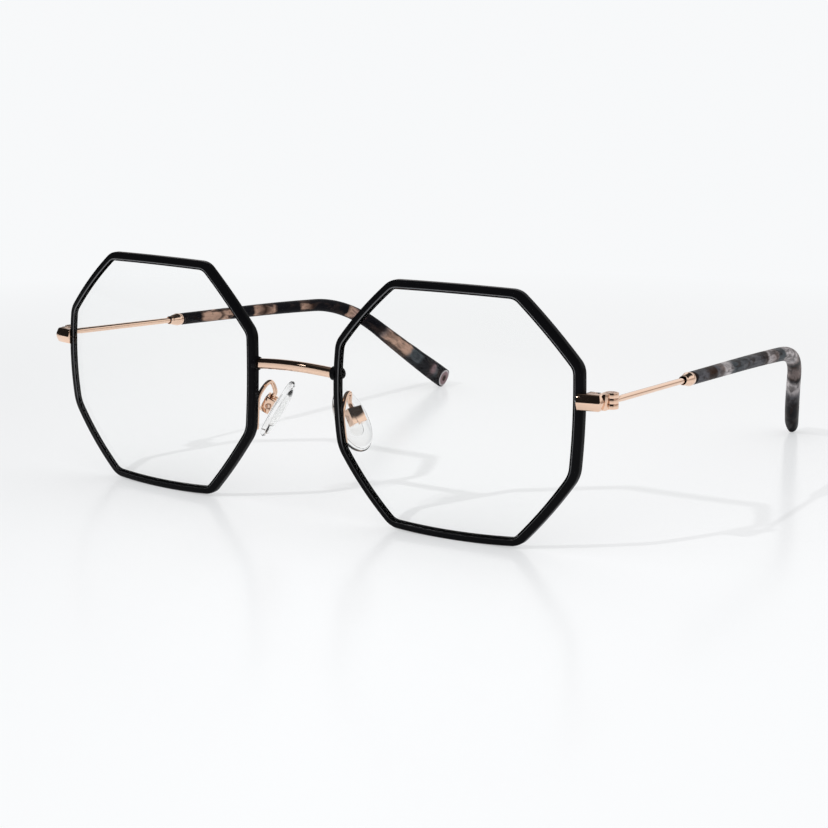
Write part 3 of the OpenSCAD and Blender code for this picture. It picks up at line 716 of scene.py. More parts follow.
@dataclass(frozen=True)
class Front:
    """Upright frame of the front, in millimetres, and its place on the table."""

    bridge_gap: float = 20.8
    rim_span: float = 54.8
    base_radius: float = 128.0
    face_form: float = 3.4
    tilt: float = 0.7
    middle_z: float = 25.64
    shift: float = -69.869
    sink: float = 0.025

    @property
    def eye_x(self) -> float:
        """Distance of an eye's centre from the middle plane."""
        return (self.bridge_gap + self.rim_span) / 2

    def curve(self, u: float, v: float) -> float:
        """Gives the depth of the lens surface behind its vertex.

        Args:
            u: Distance from the eye's centre towards the temple.
            v: Height above the eye's centre.

        Returns:
            The depth.
        """
        form, radius = math.radians(self.face_form), self.base_radius
        across = u + radius * math.sin(form)
        return radius * math.cos(form) - math.sqrt(radius**2 - across**2 - v**2)

    def place(self, side: Side) -> Matrix:
        """Gives the matrix from the upright frame to metres.

        Args:
            side: Side of the face that the piece goes on.

        Returns:
            The matrix.
        """
        lean = Matrix.Rotation(math.radians(self.tilt), 4, "X")
        stand = Matrix.Translation((0, self.shift, -self.sink))
        return Matrix.Scale(MM, 4) @ side.mirror @ stand @ lean

    def eye(self) -> Matrix:
        """Matrix from the flat frame of one eye to the upright frame."""
        return Matrix.Translation((self.eye_x, 0, self.middle_z))

    def bow(self, bm: BMesh) -> None:
        """Bends a mesh that lies flat in one eye's XZ plane onto the lens surface."""
        for vert in bm.verts:
            vert.co.y += self.curve(vert.co.x, vert.co.z)


@dataclass(frozen=True)
class Octagon:
    """Outer outline of one rim, with bowed edges and rounded corners, seen from the front.

    Its corners and edges are numbered from the top temple corner, over the top and down the nose.
    """

    LOW_CORNERS: ClassVar[tuple[int, int]] = (3, 6)
    TEMPLE_EDGE: ClassVar[int] = 6

    span: float = 54.8
    height: float = 50.4
    top_flat: float = 28.3
    top_shift: float = 0.25
    bottom_flat: float = 29.0
    side_up: float = 11.6
    side_down: float = 10.0
    side_taper: float = 0.5
    corner_r: float = 4.5
    low_corner_r: float = 7.5
    top_bow: float = 1.8
    slope_bow: float = 4.8
    side_bow: float = 5.0
    bottom_bow: float = 3.2
    arc_steps: int = 9
    edge_steps: int = 14
    slit_clear: float = 0.02

    def corners(self) -> list[Vector]:
        """Lists the octagon's corners before they are rounded.

        Returns:
            The corners, in the order of their numbers.
        """
        half, high = self.span / 2, self.height / 2
        top, bottom = self.top_flat / 2, self.bottom_flat / 2
        return [Vector(point) for point in (
            (top - self.top_shift, high), (-top - self.top_shift, high), (-half, self.side_up),
            (-half + self.side_taper, -self.side_down), (-bottom, -high), (bottom, -high),
            (half - self.side_taper, -self.side_down), (half, self.side_up))]

    def bows(self) -> list[float]:
        """Lists the angle in radians by which the edge after each corner bows out at its ends."""
        flat = (self.top_bow, self.side_bow, self.bottom_bow, self.side_bow)
        return [math.radians(angle) for bow in flat for angle in (bow, self.slope_bow)]

    def edge_normal(self, index: int) -> Vector:
        """Gives the outward normal of the straight line between two corners.

        Args:
            index: Number of the first corner.

        Returns:
            The normal, of length one.
        """
        corners = self.corners()
        along = corners[(index + 1) % 8] - corners[index % 8]
        return Vector((along.y, -along.x)).normalized()

    def arc(self, index: int) -> list[tuple[Vector, Vector]]:
        """Rounds one corner.

        Args:
            index: Number of the corner.

        Returns:
            Points of the arc, each with its outward normal.
        """
        bows, before = self.bows(), (index - 1) % 8
        first = Matrix.Rotation(bows[before], 2) @ self.edge_normal(before)
        last = Matrix.Rotation(-bows[index], 2) @ self.edge_normal(index)
        radius = self.low_corner_r if index in self.LOW_CORNERS else self.corner_r
        centre = self.corners()[index] - (first + last) * (radius / (1 + first.dot(last)))
        turn = -first.angle_signed(last)
        normals = [Matrix.Rotation(turn * step / self.arc_steps, 2) @ first
                   for step in range(self.arc_steps + 1)]
        return [(centre + normal * radius, normal) for normal in normals]

    def edge(self, index: int, share: float) -> tuple[Vector, Vector]:
        """Gives a point of a bowed edge.

        Args:
            index: Number of the corner before the edge.
            share: How far along the edge the point lies, from 0 to 1.

        Returns:
            The point and its outward normal.
        """
        start = self.arc(index)[-1][0]
        along = self.arc((index + 1) % 8)[0][0] - start
        bow = self.bows()[index]
        across = Vector((along.y, -along.x))
        point = start + along * share + across * (math.tan(bow) * share * (1 - share))
        return point, Matrix.Rotation(bow * (2 * share - 1), 2) @ across.normalized()

    def temple_share(self, height: float) -> float:
        """Gives where a height lies on the temple edge, from 0 at its foot to 1 at its top."""
        low, high = (self.edge(self.TEMPLE_EDGE, end)[0].y for end in (0, 1))
        return (height - low) / (high - low)

    def wall(self, height: float) -> float:
        """Gives the distance of the outer wall from the eye's centre, at a height above it."""
        return self.edge(self.TEMPLE_EDGE, self.temple_share(height))[0].x

    def stations(self, slit: float | None = None, slit_w: float = 0.0
                 ) -> list[tuple[Vector, Vector]]:
        """Walks round the outline.

        Args:
            slit: Height at which the walk starts and ends on the temple side, or None for a
                full round.
            slit_w: Gap that the walk leaves there.

        Returns:
            Points of the outline, each with its outward normal.
        """
        shares = [step / self.edge_steps for step in range(1, self.edge_steps)]
        if slit is None:
            return [station for index in range(8)
                    for station in self.arc(index) + [self.edge(index, share) for share in shares]]
        cut = self.TEMPLE_EDGE
        under, over = (self.temple_share(slit + sign * slit_w / 2) for sign in (-1, 1))
        above = [over] + [share for share in shares if share > over + self.slit_clear]
        below = [share for share in shares if share < under - self.slit_clear] + [under]
        middle = [station for index in (7, 0, 1, 2, 3, 4, 5)
                  for station in self.arc(index) + [self.edge(index, share) for share in shares]]
        return ([self.edge(cut, share) for share in above] + middle + self.arc(cut)
                + [self.edge(cut, share) for share in below])


@dataclass
class Eyewire:
    """Grooved rim wire with the collar and the boss that hold the bridge.

    Its inner faces that look forward by the shares in its highlight band carry a painted highlight
    line.
    """

    front: Front
    outline: Octagon
    width: float = 1.7
    depth: float = 2.0
    edge_r: float = 0.5
    edge_steps: int = 6
    groove_mouth: float = 0.75
    groove_floor: float = 0.52
    groove_depth: float = 0.5
    slit_z: float = 5.1
    slit_w: float = 0.2
    collar_r: float = 1.45
    collar_stand: float = 0.6
    collar_bevel: float = 0.12
    boss_r: float = 1.3
    boss_stand: float = 0.4
    boss_root: float = 0.2
    boss_bevel: float = 0.15
    boss_gap: float = 0.04
    bridge_z: float = 5.0
    highlight_band: tuple[float, float] = (0.7, 0.96)

    @property
    def nasal_x(self) -> float:
        """Distance of the nasal wall from the middle plane, at the bridge."""
        return self.front.eye_x - self.outline.wall(self.bridge_z)

    @property
    def nasal_y(self) -> float:
        """Depth of the rim's middle at the bridge."""
        return self.front.curve(self.nasal_x - self.front.eye_x, self.bridge_z)

    def section(self) -> list[Vector]:
        """Draws the wire's section.

        Returns:
            Its points: X is the inset from the outer wall and Y the depth.
        """
        half, inner, floor = self.depth / 2, self.width, self.width - self.groove_depth
        mouth, bottom = self.groove_mouth / 2, self.groove_floor / 2
        return rounded_outline([
            (0, half, self.edge_r), (0, -half, self.edge_r), (inner, -half, self.edge_r),
            (inner, -mouth, 0), (floor, -bottom, 0), (floor, bottom, 0), (inner, mouth, 0),
            (inner, half, self.edge_r)], self.edge_steps)

    def wire(self) -> BMesh:
        """Sweeps the wire round the eye, from one side of its slit to the other.

        Returns:
            The wire, in the upright frame.
        """
        places = []
        for point, normal in self.outline.stations(self.slit_z, self.slit_w):
            along = Vector((normal.y, 0, -normal.x))
            place = Matrix((-normal.to_3d().xzy, (0, 1, 0), along)).transposed().to_4x4()
            place.translation = (point.x, 0, point.y)
            places.append(place)
        bm = swept(self.section(), places)
        bm.normal_update()
        # Inner faces that look forward by these shares take the painted highlight line's finish.
        least, most = self.highlight_band
        for face in bm.faces:
            facing_in = face.normal.dot(face.calc_center_median() * Vector((1, 0, 1))) < 0
            face.material_index = int(facing_in and least < -face.normal.y < most)
        self.front.bow(bm)
        bmesh.ops.transform(bm, matrix=self.front.eye(), verts=bm.verts)
        return bm

    def collar(self) -> BMesh:
        """Turns the short collar between the rim and the bridge.

        Returns:
            The collar, in the upright frame.
        """
        radius, bevel = self.collar_r, self.collar_bevel
        root = self.collar_stand + self.groove_depth
        bm = turned([(AXIS_R, 0), (radius - bevel, 0), (radius, bevel), (radius, root),
                     (AXIS_R, root)])
        turn = Matrix.Rotation(math.radians(90), 4, "Y")
        height = self.front.middle_z + self.bridge_z
        where = (self.nasal_x - self.collar_stand, self.nasal_y, height)
        bmesh.ops.transform(bm, matrix=Matrix.Translation(where) @ turn, verts=bm.verts)
        return bm

    def boss(self) -> BMesh:
        """Turns the round boss behind the bridge's end.

        Returns:
            The boss, in the upright frame.
        """
        radius, bevel, root, top = self.boss_r, self.boss_bevel, self.boss_root, self.boss_stand
        bm = turned([(AXIS_R, -root), (radius, -root), (radius, top - bevel), (radius - bevel, top),
                     (AXIS_R, top)])
        turn = Matrix.Rotation(math.radians(-90), 4, "X")
        x = self.nasal_x - self.collar_stand + self.boss_r + self.boss_gap
        where = (x, self.nasal_y + self.depth / 2, self.front.middle_z + self.bridge_z)
        bmesh.ops.transform(bm, matrix=Matrix.Translation(where) @ turn, verts=bm.verts)
        return bm

    def build(self, side: Side) -> None:
        """Builds the rim of one side.

        Args:
            side: Side of the face.
        """
        bm = joined([self.wire(), self.collar(), self.boss()])
        word = side.word
        piece = Piece(f"eyewire_{word}", "front", (f"rim_{word}",), EYEWIRE_PAINT,
                      second=PAINTED_HIGHLIGHT_LINE)
        piece.publish(bm, self.front.place(side))


@dataclass
class Lens:
    """Clear lens with a bevel that sits in the rim's groove."""

    front: Front
    outline: Octagon
    inset: float = 1.75
    thickness: float = 1.6
    bevel_reach: float = 0.0165
    bevel_t: float = 0.5
    ridge_t: float = 0.12
    rings: int = 22
    centre: float = 0.0001
    corner: tuple[float, float] = (0.997, 0.08)
    centre_gap: float = 0.02
    edge_shade_below: float = 0.9

    def section(self) -> list[Vector]:
        """Draws the lens from its front centre over its edge to its back centre.

        Returns:
            The points: X is the share of the way to the edge and Y the depth.
        """
        half, bevel, ridge = self.thickness / 2, self.bevel_t / 2, self.ridge_t / 2
        shares = [self.centre] + [step / self.rings for step in range(1, self.rings)]
        front = [(share, -half) for share in shares]
        start, drop = self.corner
        edge = [(start, -half), (1.0, -half + drop), (1.0, -bevel), (1 + self.bevel_reach, -ridge)]
        half_way = front + edge
        return [Vector((x, y, 0)) for x, y in half_way + [(x, -y) for x, y in reversed(half_way)]]

    def build(self, side: Side) -> None:
        """Builds the lens of one side.

        Args:
            side: Side of the face.
        """
        places = []
        back = Vector((0, 1, 0))
        for point, normal in self.outline.stations():
            spoke = (point - normal * self.inset).to_3d().xzy
            places.append(Matrix((spoke, back, spoke.cross(back))).transposed().to_4x4())
        bm = swept(self.section(), places, ring=True, loop=False)
        bmesh.ops.remove_doubles(bm, verts=bm.verts, dist=self.centre_gap)
        bm.normal_update()
        # Faces of the lens's edge take the painted shade.
        for face in bm.faces:
            face.material_index = int(abs(face.normal.y) < self.edge_shade_below)
        self.front.bow(bm)
        bmesh.ops.transform(bm, matrix=self.front.eye(), verts=bm.verts)
        word = side.word
        piece = Piece(f"optic_{word}", "front", (f"lens_{word}",), LENS_GLASS, second=LENS_EDGE_SHADE)
        piece.publish(bm, self.front.place(side))


@dataclass
class Bridge:
    """Flattened round bar that bows up and forward between the rims' collars."""

    front: Front
    eyewire: Eyewire
    height: float = 2.2
    depth: float = 1.8
    rise: float = 0.6
    bow: float = 0.8
    seat: float = 0.02
    flat: float = 0.04
    corner_steps: int = 8
    spare_turn: float = 3.0
    end_bevel: float = 0.14
    end_segments: int = 3
    steps: int = 40

    def section(self) -> list[Vector]:
        """Draws the bar's section.

        Returns:
            Its points: X is the depth and Y the height.
        """
        deep, high, radius = self.depth / 2, self.height / 2, (self.depth - self.flat) / 2
        return rounded_outline([(-deep, -high, radius), (deep, -high, radius), (deep, high, radius),
                                (-deep, high, radius)], self.corner_steps)

    def build(self) -> None:
        """Builds the bridge."""
        end = self.eyewire.nasal_x - self.eyewire.collar_stand
        sag = math.hypot(self.rise, self.bow)
        radius = (end**2 + sag**2) / (2 * sag)
        lean = math.atan2(self.rise, -self.bow)
        sweep = 2 * math.asin(end / radius) + math.radians(self.spare_turn)
        foot = (0, self.eyewire.nasal_y, self.front.middle_z + self.eyewire.bridge_z)
        plane = (Matrix.Translation(foot) @ Matrix.Rotation(lean, 4, "X")
                 @ Matrix.Translation((0, sag - radius, 0)))
        upright = Matrix.Rotation(math.radians(90), 4, "X") @ Matrix.Rotation(-lean, 4, "Z")
        places = []
        for step in range(self.steps + 1):
            angle = math.radians(90) + sweep * (step / self.steps - 0.5)
            spoke = Matrix.Rotation(angle, 4, "Z") @ Matrix.Translation((radius, 0, 0))
            places.append(plane @ spoke @ upright)
        bm = swept(self.section(), places)
        for sign in (-1, 1):
            geom = bm.verts[:] + bm.edges[:] + bm.faces[:]
            bmesh.ops.bisect_plane(bm, geom=geom, plane_co=(sign * (end - self.seat), 0, 0),
                                   plane_no=(sign, 0, 0), clear_outer=True)
        bmesh.ops.holes_fill(bm, edges=bm.edges, sides=0)
        caps = [face for face in bm.faces if len(face.verts) > self.corner_steps]
        rims = [edge for face in caps for edge in face.edges]
        rounded_edges(bm, rims, self.end_bevel, self.end_segments)
        piece = Piece("bridge_bar", "front", ("bridge",), ROSE_GOLD)
        piece.publish(bm, self.front.place(Side.LEFT))


@dataclass
class Fittings:
    """Small parts whose solids have the right shape and only want rounded edges."""

    closing_round: float = 0.12
    end_round: float = 0.06
    hinge_round: float = 0.09
    screw_round: float = 0.06
    pad_round: float = 0.12

    def build(self, side: Side) -> None:
        """Builds the end piece, closing block, hinge and pad hardware of one side.

        Args:
            side: Side of the face.
        """
        word = side.word
        parts = (
            ("closing_lug", "closing_block", "front", EYEWIRE_PAINT, self.closing_round),
            ("closing_pin", "closing_screw", "front", SCREW_METAL, self.screw_round),
            ("end_cap", "endpiece", "front", ROSE_GOLD, self.end_round),
            ("hinge_leaf", "front_hinge", "front", ROSE_GOLD, self.hinge_round),
            ("hinge_pin", "hinge_screw", "front", SCREW_METAL, self.screw_round),
            ("hinge_tongue", "temple_hinge", f"temple_{word}", ROSE_GOLD, self.hinge_round),
            ("clevis", "pad_box", "front", ROSE_GOLD, self.pad_round),
            ("pad_pin", "pad_screw", "front", SCREW_METAL, self.screw_round),
            ("pad_plate", "pad_insert", f"pad_{word}", PLATE_PLASTIC, self.screw_round))
        for name, node, body, finish, width in parts:
            piece = Piece(f"{name}_{word}", body, (f"{node}_{word}",), finish)
            piece.publish(softened(f"{node}_{word}", width))


@dataclass(frozen=True)
class TempleLine:
    """Centre line of a temple, walked from the hinge axis by its headings."""

    start: float = 0.25
    length: float = 142.6
    yaws: tuple[tuple[float, float], ...] = (
        (0, 2.2), (60.8, 2.2), (88.4, 3.5), (113.2, 23.2), (142.6, 21))
    falls: tuple[tuple[float, float], ...] = (
        (0, 2.2), (60.8, 2.2), (88.4, 3.8), (113.2, 37.5), (142.6, 34.2))
    steps: int = 560

    def turns(self, along: float) -> tuple[float, float]:
        """Gives the inward and downward angles at a distance along the line, in radians."""
        return math.radians(between(self.yaws, along)), math.radians(between(self.falls, along))

    def points(self) -> list[Vector]:
        """Walks the line in small steps from the hinge axis.

        Returns:
            The points between the steps, in millimetres.
        """
        step = self.length / self.steps
        points = [Vector((self.start, 0, 0))]
        for index in range(self.steps):
            yaw, fall = self.turns((index + 0.5) * step)
            level = math.cos(fall)
            heading = Vector((-math.sin(yaw) * level, math.cos(yaw) * level, -math.sin(fall)))
            points.append(points[-1] + heading * step)
        return points

    def bend(self, bm: BMesh) -> None:
        """Bends a straight mesh along the line and keeps each vertex's straight place.

        Args:
            bm: A mesh whose Z runs along the temple from the hinge axis, X outwards and Y upwards.
        """
        points, step = self.points(), self.length / self.steps
        straight = bm.verts.layers.float_vector.new("straight")
        for vert in bm.verts:
            vert[straight] = vert.co
            along = vert.co.z
            index = max(0, min(self.steps - 1, int(along / step)))
            yaw, fall = self.turns(along)
            drop = math.sin(fall)
            side = Vector((math.cos(yaw), math.sin(yaw), 0))
            up = Vector((-math.sin(yaw) * drop, math.cos(yaw) * drop, math.cos(fall)))
            centre = points[index] + (points[index + 1] - points[index]) * (along / step - index)
            vert.co = centre + side * vert.co.x + up * vert.co.y


@dataclass
class Temple:
    """Rod with its core, ferrule and marbled tip.

    Places run from the hinge axis. The tip's widths and heights are halves, and those of its end
    follow `tip_end_w` and `tip_end_h`.
    """

    line: TempleLine
    rod_from: float = 1.65
    rod_r: float = 0.65
    rod_sides: int = 24
    neck_r: float = 0.525
    neck_len: float = 2.5
    neck_bevel: tuple[float, float] = (0.1, 0.02)
    core_r: float = 0.58
    core_to: float = 128.6
    core_overlap: tuple[float, float] = (1.0, 0.2)
    core_from: float = 2.0
    core_step: float = 2.0
    core_steps: int = 45
    ferrule_from: float = 32.8
    ferrule_bore: float = 0.68
    ferrule_sides: int = 48
    ferrule_cup: float = 0.35
    ferrule_len: float = 3.8
    ferrule_profile: tuple[tuple[float, float], ...] = (
        (0.8, 0.1), (0.86, 0.0), (0.95, 0.03), (0.99, 0.12), (1.0, 0.5), (0.94, 0.58), (0.94, 0.72),
        (1.04, 0.82), (1.1, 1.0), (1.2, 1.45), (1.34, 2.1), (1.41, 2.45), (1.46, 2.6), (1.46, 3.12),
        (1.42, 3.2), (1.34, 3.24), (1.34, 3.36), (1.4, 3.42), (1.4, 3.68), (1.33, 3.8))
    tip_from: float = 36.85
    tip_r: float = 1.4
    tip_mouth: tuple[tuple[float, float], ...] = ((0.0, 1.34), (0.08, 1.39))
    tip_body: float = 0.1
    tip_bend: tuple[float, float, float] = (88.4, 1.55, 1.6)
    tip_paddle: tuple[float, float] = (113.2, 1.95)
    tip_full_w: float = 10.0
    tip_full_h: float = 6.0
    tip_end_w: float = 3.5
    tip_end_h: float = 5.3
    tip_end_taper: float = 0.95
    tip_short: float = 0.45
    tip_steps: int = 110
    tip_sides: int = 40
    nose: float = 1.9
    nose_step: int = 8
    nose_round: tuple[float, float, float] = (0.7, 0.45, 0.35)
    square: float = 2.3
    square_from: float = 80.0
    square_over: float = 40.0
    facet_len: float = 5.0
    facet_turn: float = 25.0
    facet_round: float = 0.35
    facet_segments: int = 3

    @property
    def tip_to(self) -> float:
        """Place of the tip's end."""
        return self.line.length - self.tip_short

    @property
    def half_w(self) -> list[tuple[float, float]]:
        """Lists the tip's half widths.

        Returns:
            Places along the temple, each with its half width.
        """
        (bend, wide, _), full = self.tip_bend, self.tip_end_w / 2
        return [(self.tip_from, self.tip_r), (bend, wide), (self.tip_to - self.tip_full_w, full),
                (self.tip_to, full * self.tip_end_taper)]

    @property
    def half_h(self) -> list[tuple[float, float]]:
        """Lists the tip's half heights.

        Returns:
            Places along the temple, each with its half height.
        """
        (bend, _, high), full = self.tip_bend, self.tip_end_h / 2
        return [(self.tip_from, self.tip_r), (bend, high), self.tip_paddle,
                (self.tip_to - self.tip_full_h, full), (self.tip_to, full)]

    def place(self, side: Side) -> Matrix:
        """Gives the matrix from the hinge axis of the wearer's left to metres on a side."""
        hinge = next(joint for joint in frame["joints"] if joint["name"] == "temple_fold_left")
        return side.mirror @ Matrix.Translation(hinge["pos_m"]) @ Matrix.Scale(MM, 4)

    def tube(self, stations: Sequence[tuple[float, float, float]], sides: int) -> BMesh:
        """Draws a straight tube of changing section.

        Args:
            stations: Distance, half width and half height of each station.
            sides: Number of sides.

        Returns:
            The tube, along Z.
        """
        places = [Matrix.Translation((0, 0, along)) @ Matrix.Diagonal((wide, high, 1, 1))
                  for along, wide, high in stations]
        return swept(circle(1.0, sides), places)

    def rod(self) -> BMesh:
        """Draws the rod and the wire core that runs on inside the tip.

        Returns:
            The straight rod.
        """
        start, tip = self.rod_from, self.tip_from
        (bevel, swell), (before, after) = self.neck_bevel, self.core_overlap
        radii = [(start, self.neck_r), (start + bevel, self.neck_r + swell),
                 (start + self.neck_len, self.rod_r), (tip - before, self.rod_r),
                 (tip + after, self.core_r)]
        radii += [(tip + self.core_from + step * self.core_step, self.core_r)
                  for step in range(self.core_steps)]
        radii.append((self.core_to, self.core_r))
        return self.tube([(along, radius, radius) for along, radius in radii], self.rod_sides)

    def ferrule(self) -> BMesh:
        """Turns the trumpet between rod and tip, with its cupped lip and its ring grooves.

        Returns:
            The straight trumpet.
        """
        bore, start = self.ferrule_bore, self.ferrule_from
        profile = [(bore, self.ferrule_cup), *self.ferrule_profile, (bore, self.ferrule_len)]
        return turned([(radius, start + along) for radius, along in profile], self.ferrule_sides)

    def tip(self) -> BMesh:
        """Draws the acetate tip, round at the ferrule and a flat paddle with a soft end.

        Returns:
            The straight tip.
        """
        half_w, half_h, nose = self.half_w, self.half_h, self.nose
        stations = [(self.tip_from + along, radius, radius) for along, radius in self.tip_mouth]
        start, end = self.tip_from + self.tip_body, self.tip_to
        for step in range(1, self.tip_steps + 1):
            along = start + (end - nose - start) * step / self.tip_steps
            stations.append((along, between(half_w, along), between(half_h, along)))
        narrow, tall, low = self.nose_round
        for degrees in range(self.nose_step, 90, self.nose_step):
            angle = math.radians(degrees)
            along, slim = end - nose + nose * math.sin(angle), math.cos(angle)
            stations.append((along, between(half_w, along) * slim**narrow,
                             between(half_h, along) * (tall + (1 - tall) * slim) * slim**low))
        bm = self.tube(stations, self.tip_sides)
        self.squared(bm)
        self.facet(bm)
        return bm

    def facet(self, bm: BMesh) -> None:
        """Cuts the slanted oval facet on the inner side of the tip's end and softens its rim.

        Args:
            bm: The straight tip.
        """
        turn = math.radians(self.facet_turn)
        corner = (-self.tip_end_w / 2, 0, self.line.length - self.facet_len)
        bmesh.ops.bisect_plane(bm, geom=bm.verts[:] + bm.edges[:] + bm.faces[:], plane_co=corner,
                               plane_no=(-math.cos(turn), 0, math.sin(turn)), clear_outer=True)
        cap = bmesh.ops.holes_fill(bm, edges=bm.edges, sides=0)["faces"]
        rim = [edge for face in cap for edge in face.edges]
        rounded_edges(bm, rim, self.facet_round, self.facet_segments)

    def squared(self, bm: BMesh) -> None:
        """Squares the round section of the tip little by little towards its end.

        Args:
            bm: The straight tip.
        """
        half_w, half_h = self.half_w, self.half_h
        for vert in bm.verts:
            along = vert.co.z
            share = min(1.0, max(0.0, (along - self.square_from) / self.square_over))
            power = 2 + (self.square - 2) * share
            x = abs(vert.co.x) / between(half_w, along)
            y = abs(vert.co.y) / between(half_h, along)
            size = math.hypot(x, y)
            if size > 0:
                corner = (x / size)**power + (y / size)**power
                grow = corner**(-1 / power)
                vert.co.x *= grow
                vert.co.y *= grow

    def build(self, side: Side) -> None:
        """Builds the temple of one side.

        Args:
            side: Side of the face.
        """
        body, word = f"temple_{side.word}", side.word
        acetate = NEAR_ACETATE if side is Side.LEFT else FAR_ACETATE
        for name, node, bm, finish in (
                ("rod", "temple_rod", self.rod(), ROSE_GOLD),
                ("trumpet", "ferrule", self.ferrule(), ROSE_GOLD),
                ("marbled_tip", "temple_tip", self.tip(), acetate)):
            self.line.bend(bm)
            piece = Piece(f"{name}_{word}", body, (f"{node}_{word}",), finish)
            piece.publish(bm, self.place(side))


@dataclass
class NosePad:
    """Clear pad and the bent wire that carries it.

    The cushion's rim is a table of depths in front of its back, each with the outline's share
    there. The arch is a table of the wire's free points: distance outside the nasal wall, distance
    in front of the pad's middle and height.
    """

    front: Front
    eyewire: Eyewire
    length: float = 14.2
    width: float = 7.8
    thickness: float = 2.3
    x: float = 9.4
    y: float = 7.9
    drop: float = 5.9
    splay: float = 30.5
    flare: float = 26.5
    lean: float = 8.7
    rim: float = 0.8
    egg: float = 0.1
    outline_steps: int = 56
    back_rings: tuple[tuple[float, float], ...] = (
        (0.0, 0.8), (0.02, 0.86), (0.12, 0.92), (0.35, 0.97))
    dome_degrees: tuple[int, ...] = (0, 10, 20, 30, 40, 50, 60, 68, 75, 81, 86)
    dome_power: float = 0.8
    wire_r: float = 0.475
    wire_sides: int = 20
    wire_steps: int = 10
    wire_start: float = 0.75
    wire_across: tuple[float, float, float] = (0, 1, 0.01)
    feet: tuple[float, ...] = (-9.6, -7, -4.4)
    lift: tuple[float, float] = (-2.2, 0.5)
    arch: tuple[tuple[float, float, float], ...] = ((0.4, 2.9, -0.1), (0.2, 1.3, 0.1))
    over_box: float = 1.4
    box_back: float = 1.5
    box_d: float = 2.2
    box_l: float = 3.4
    seat: float = 0.08

    def to_front(self) -> Matrix:
        """Gives the matrix from the pad's frame to the upright frame.

        Returns:
            The matrix. In the pad's frame X points away from the nose and Z runs along the pad.
        """
        centre = Matrix.Translation((self.x, self.y, self.front.middle_z - self.drop))
        flare = Matrix.Rotation(math.radians(-self.flare), 4, "Z")
        splay = Matrix.Rotation(math.radians(-self.splay), 4, "Y")
        return centre @ flare @ splay @ Matrix.Rotation(math.radians(self.lean), 4, "X")

    def outline(self) -> list[Vector]:
        """Draws the pad's egg-shaped outline, wider at its foot.

        Returns:
            Its points, in the YZ plane.
        """
        points = []
        for step in range(self.outline_steps):
            angle = math.tau * step / self.outline_steps
            wide = self.width / 2 * math.cos(angle) * (1 + self.egg * math.sin(-angle))
            points.append(Vector((0, wide, self.length / 2 * math.sin(angle))))
        return points

    def cushion(self) -> BMesh:
        """Draws the pad: a flat back with a rounded rim, and a domed face to the nose.

        Returns:
            The pad, in its own frame.
        """
        half, dome = self.thickness / 2, self.thickness - self.rim
        rings = [(half - depth, share) for depth, share in self.back_rings]
        for angle in map(math.radians, self.dome_degrees):
            depth = half - self.rim - dome * math.sin(angle)
            rings.append((depth, math.cos(angle)**self.dome_power))
        places = [Matrix.Translation((x, 0, 0)) @ Matrix.Diagonal((1, size, size, 1))
                  for x, size in rings]
        return swept(self.outline(), places)

    def foot(self, height: float) -> Vector:
        """Gives a point of the wire against the back of the rim.

        Args:
            height: Height above the eye's centre.

        Returns:
            The point, in the upright frame.
        """
        front, rim = self.front, self.eyewire
        x = rim.outline.wall(height) - rim.width / 2
        depth = front.curve(-x, height) + rim.depth / 2 + self.wire_r + self.seat
        return Vector((front.eye_x - x, depth, front.middle_z + height))

    def route(self) -> list[Vector]:
        """Lists the wire's route: up the back of the rim, over in a loop and down to the clevis.

        Returns:
            Points that the wire passes, in the upright frame.
        """
        nasal, top, pad = self.eyewire.nasal_x, self.front.middle_z, self.to_front()
        middle, box_top = self.box_back + self.box_d / 2, self.box_l / 2
        lifted, off = self.lift
        feet = [self.foot(height) for height in self.feet]
        arch = [Vector((nasal + out, self.y - ahead, top + up)) for out, ahead, up in self.arch]
        box = [pad @ Vector((middle, 0, up)) for up in (box_top + self.over_box, box_top)]
        return [*feet, self.foot(lifted) + Vector((0, off, 0)), *arch, *box]

    @staticmethod
    def smooth(points: Sequence[Vector], steps: int) -> list[Vector]:
        """Draws a smooth curve through points.

        Args:
            points: Points that the curve passes.
            steps: Number of steps between two points.

        Returns:
            Points of the curve.
        """
        curve = []
        for index in range(len(points) - 1):
            a, b, c = points[max(index - 1, 0)], points[index], points[index + 1]
            d = points[min(index + 2, len(points) - 1)]
            for step in range(steps):
                t = step / steps
                curve.append(0.5 * (2 * b + (c - a) * t + (2 * a - 5 * b + 4 * c - d) * t * t
                                    + (3 * b - a - 3 * c + d) * t**3))
        return curve + [points[-1].copy()]

    def arm(self) -> BMesh:
        """Sweeps the wire along its route, without twist, from a narrowed end to the clevis.

        Returns:
            The wire, in the upright frame.
        """
        path = self.smooth(self.route(), self.wire_steps)
        across = Vector(self.wire_across)
        places = []
        for index, point in enumerate(path):
            tangent = (path[min(index + 1, len(path) - 1)] - path[max(index - 1, 0)]).normalized()
            across = (across - tangent * across.dot(tangent)).normalized()
            place = Matrix((across, tangent.cross(across), tangent)).transposed().to_4x4()
            place.translation = point
            places.append(place @ Matrix.Scale(self.wire_start if index == 0 else 1, 4))
        return swept(circle(self.wire_r, self.wire_sides), places)

    def build(self, side: Side) -> None:
        """Builds the pad and its arm on one side.

        Args:
            side: Side of the face.
        """
        word, place = side.word, self.front.place(side)
        cushion = self.cushion()
        bmesh.ops.transform(cushion, matrix=self.to_front(), verts=cushion.verts)
        pad = Piece(f"silicone_pad_{word}", f"pad_{word}", (f"nose_pad_{word}",), PAD_SILICONE)
        pad.publish(cushion, place)
        wire = Piece(f"pad_wire_{word}", "front", (f"pad_arm_{word}",), ROSE_GOLD)
        wire.publish(self.arm(), place)


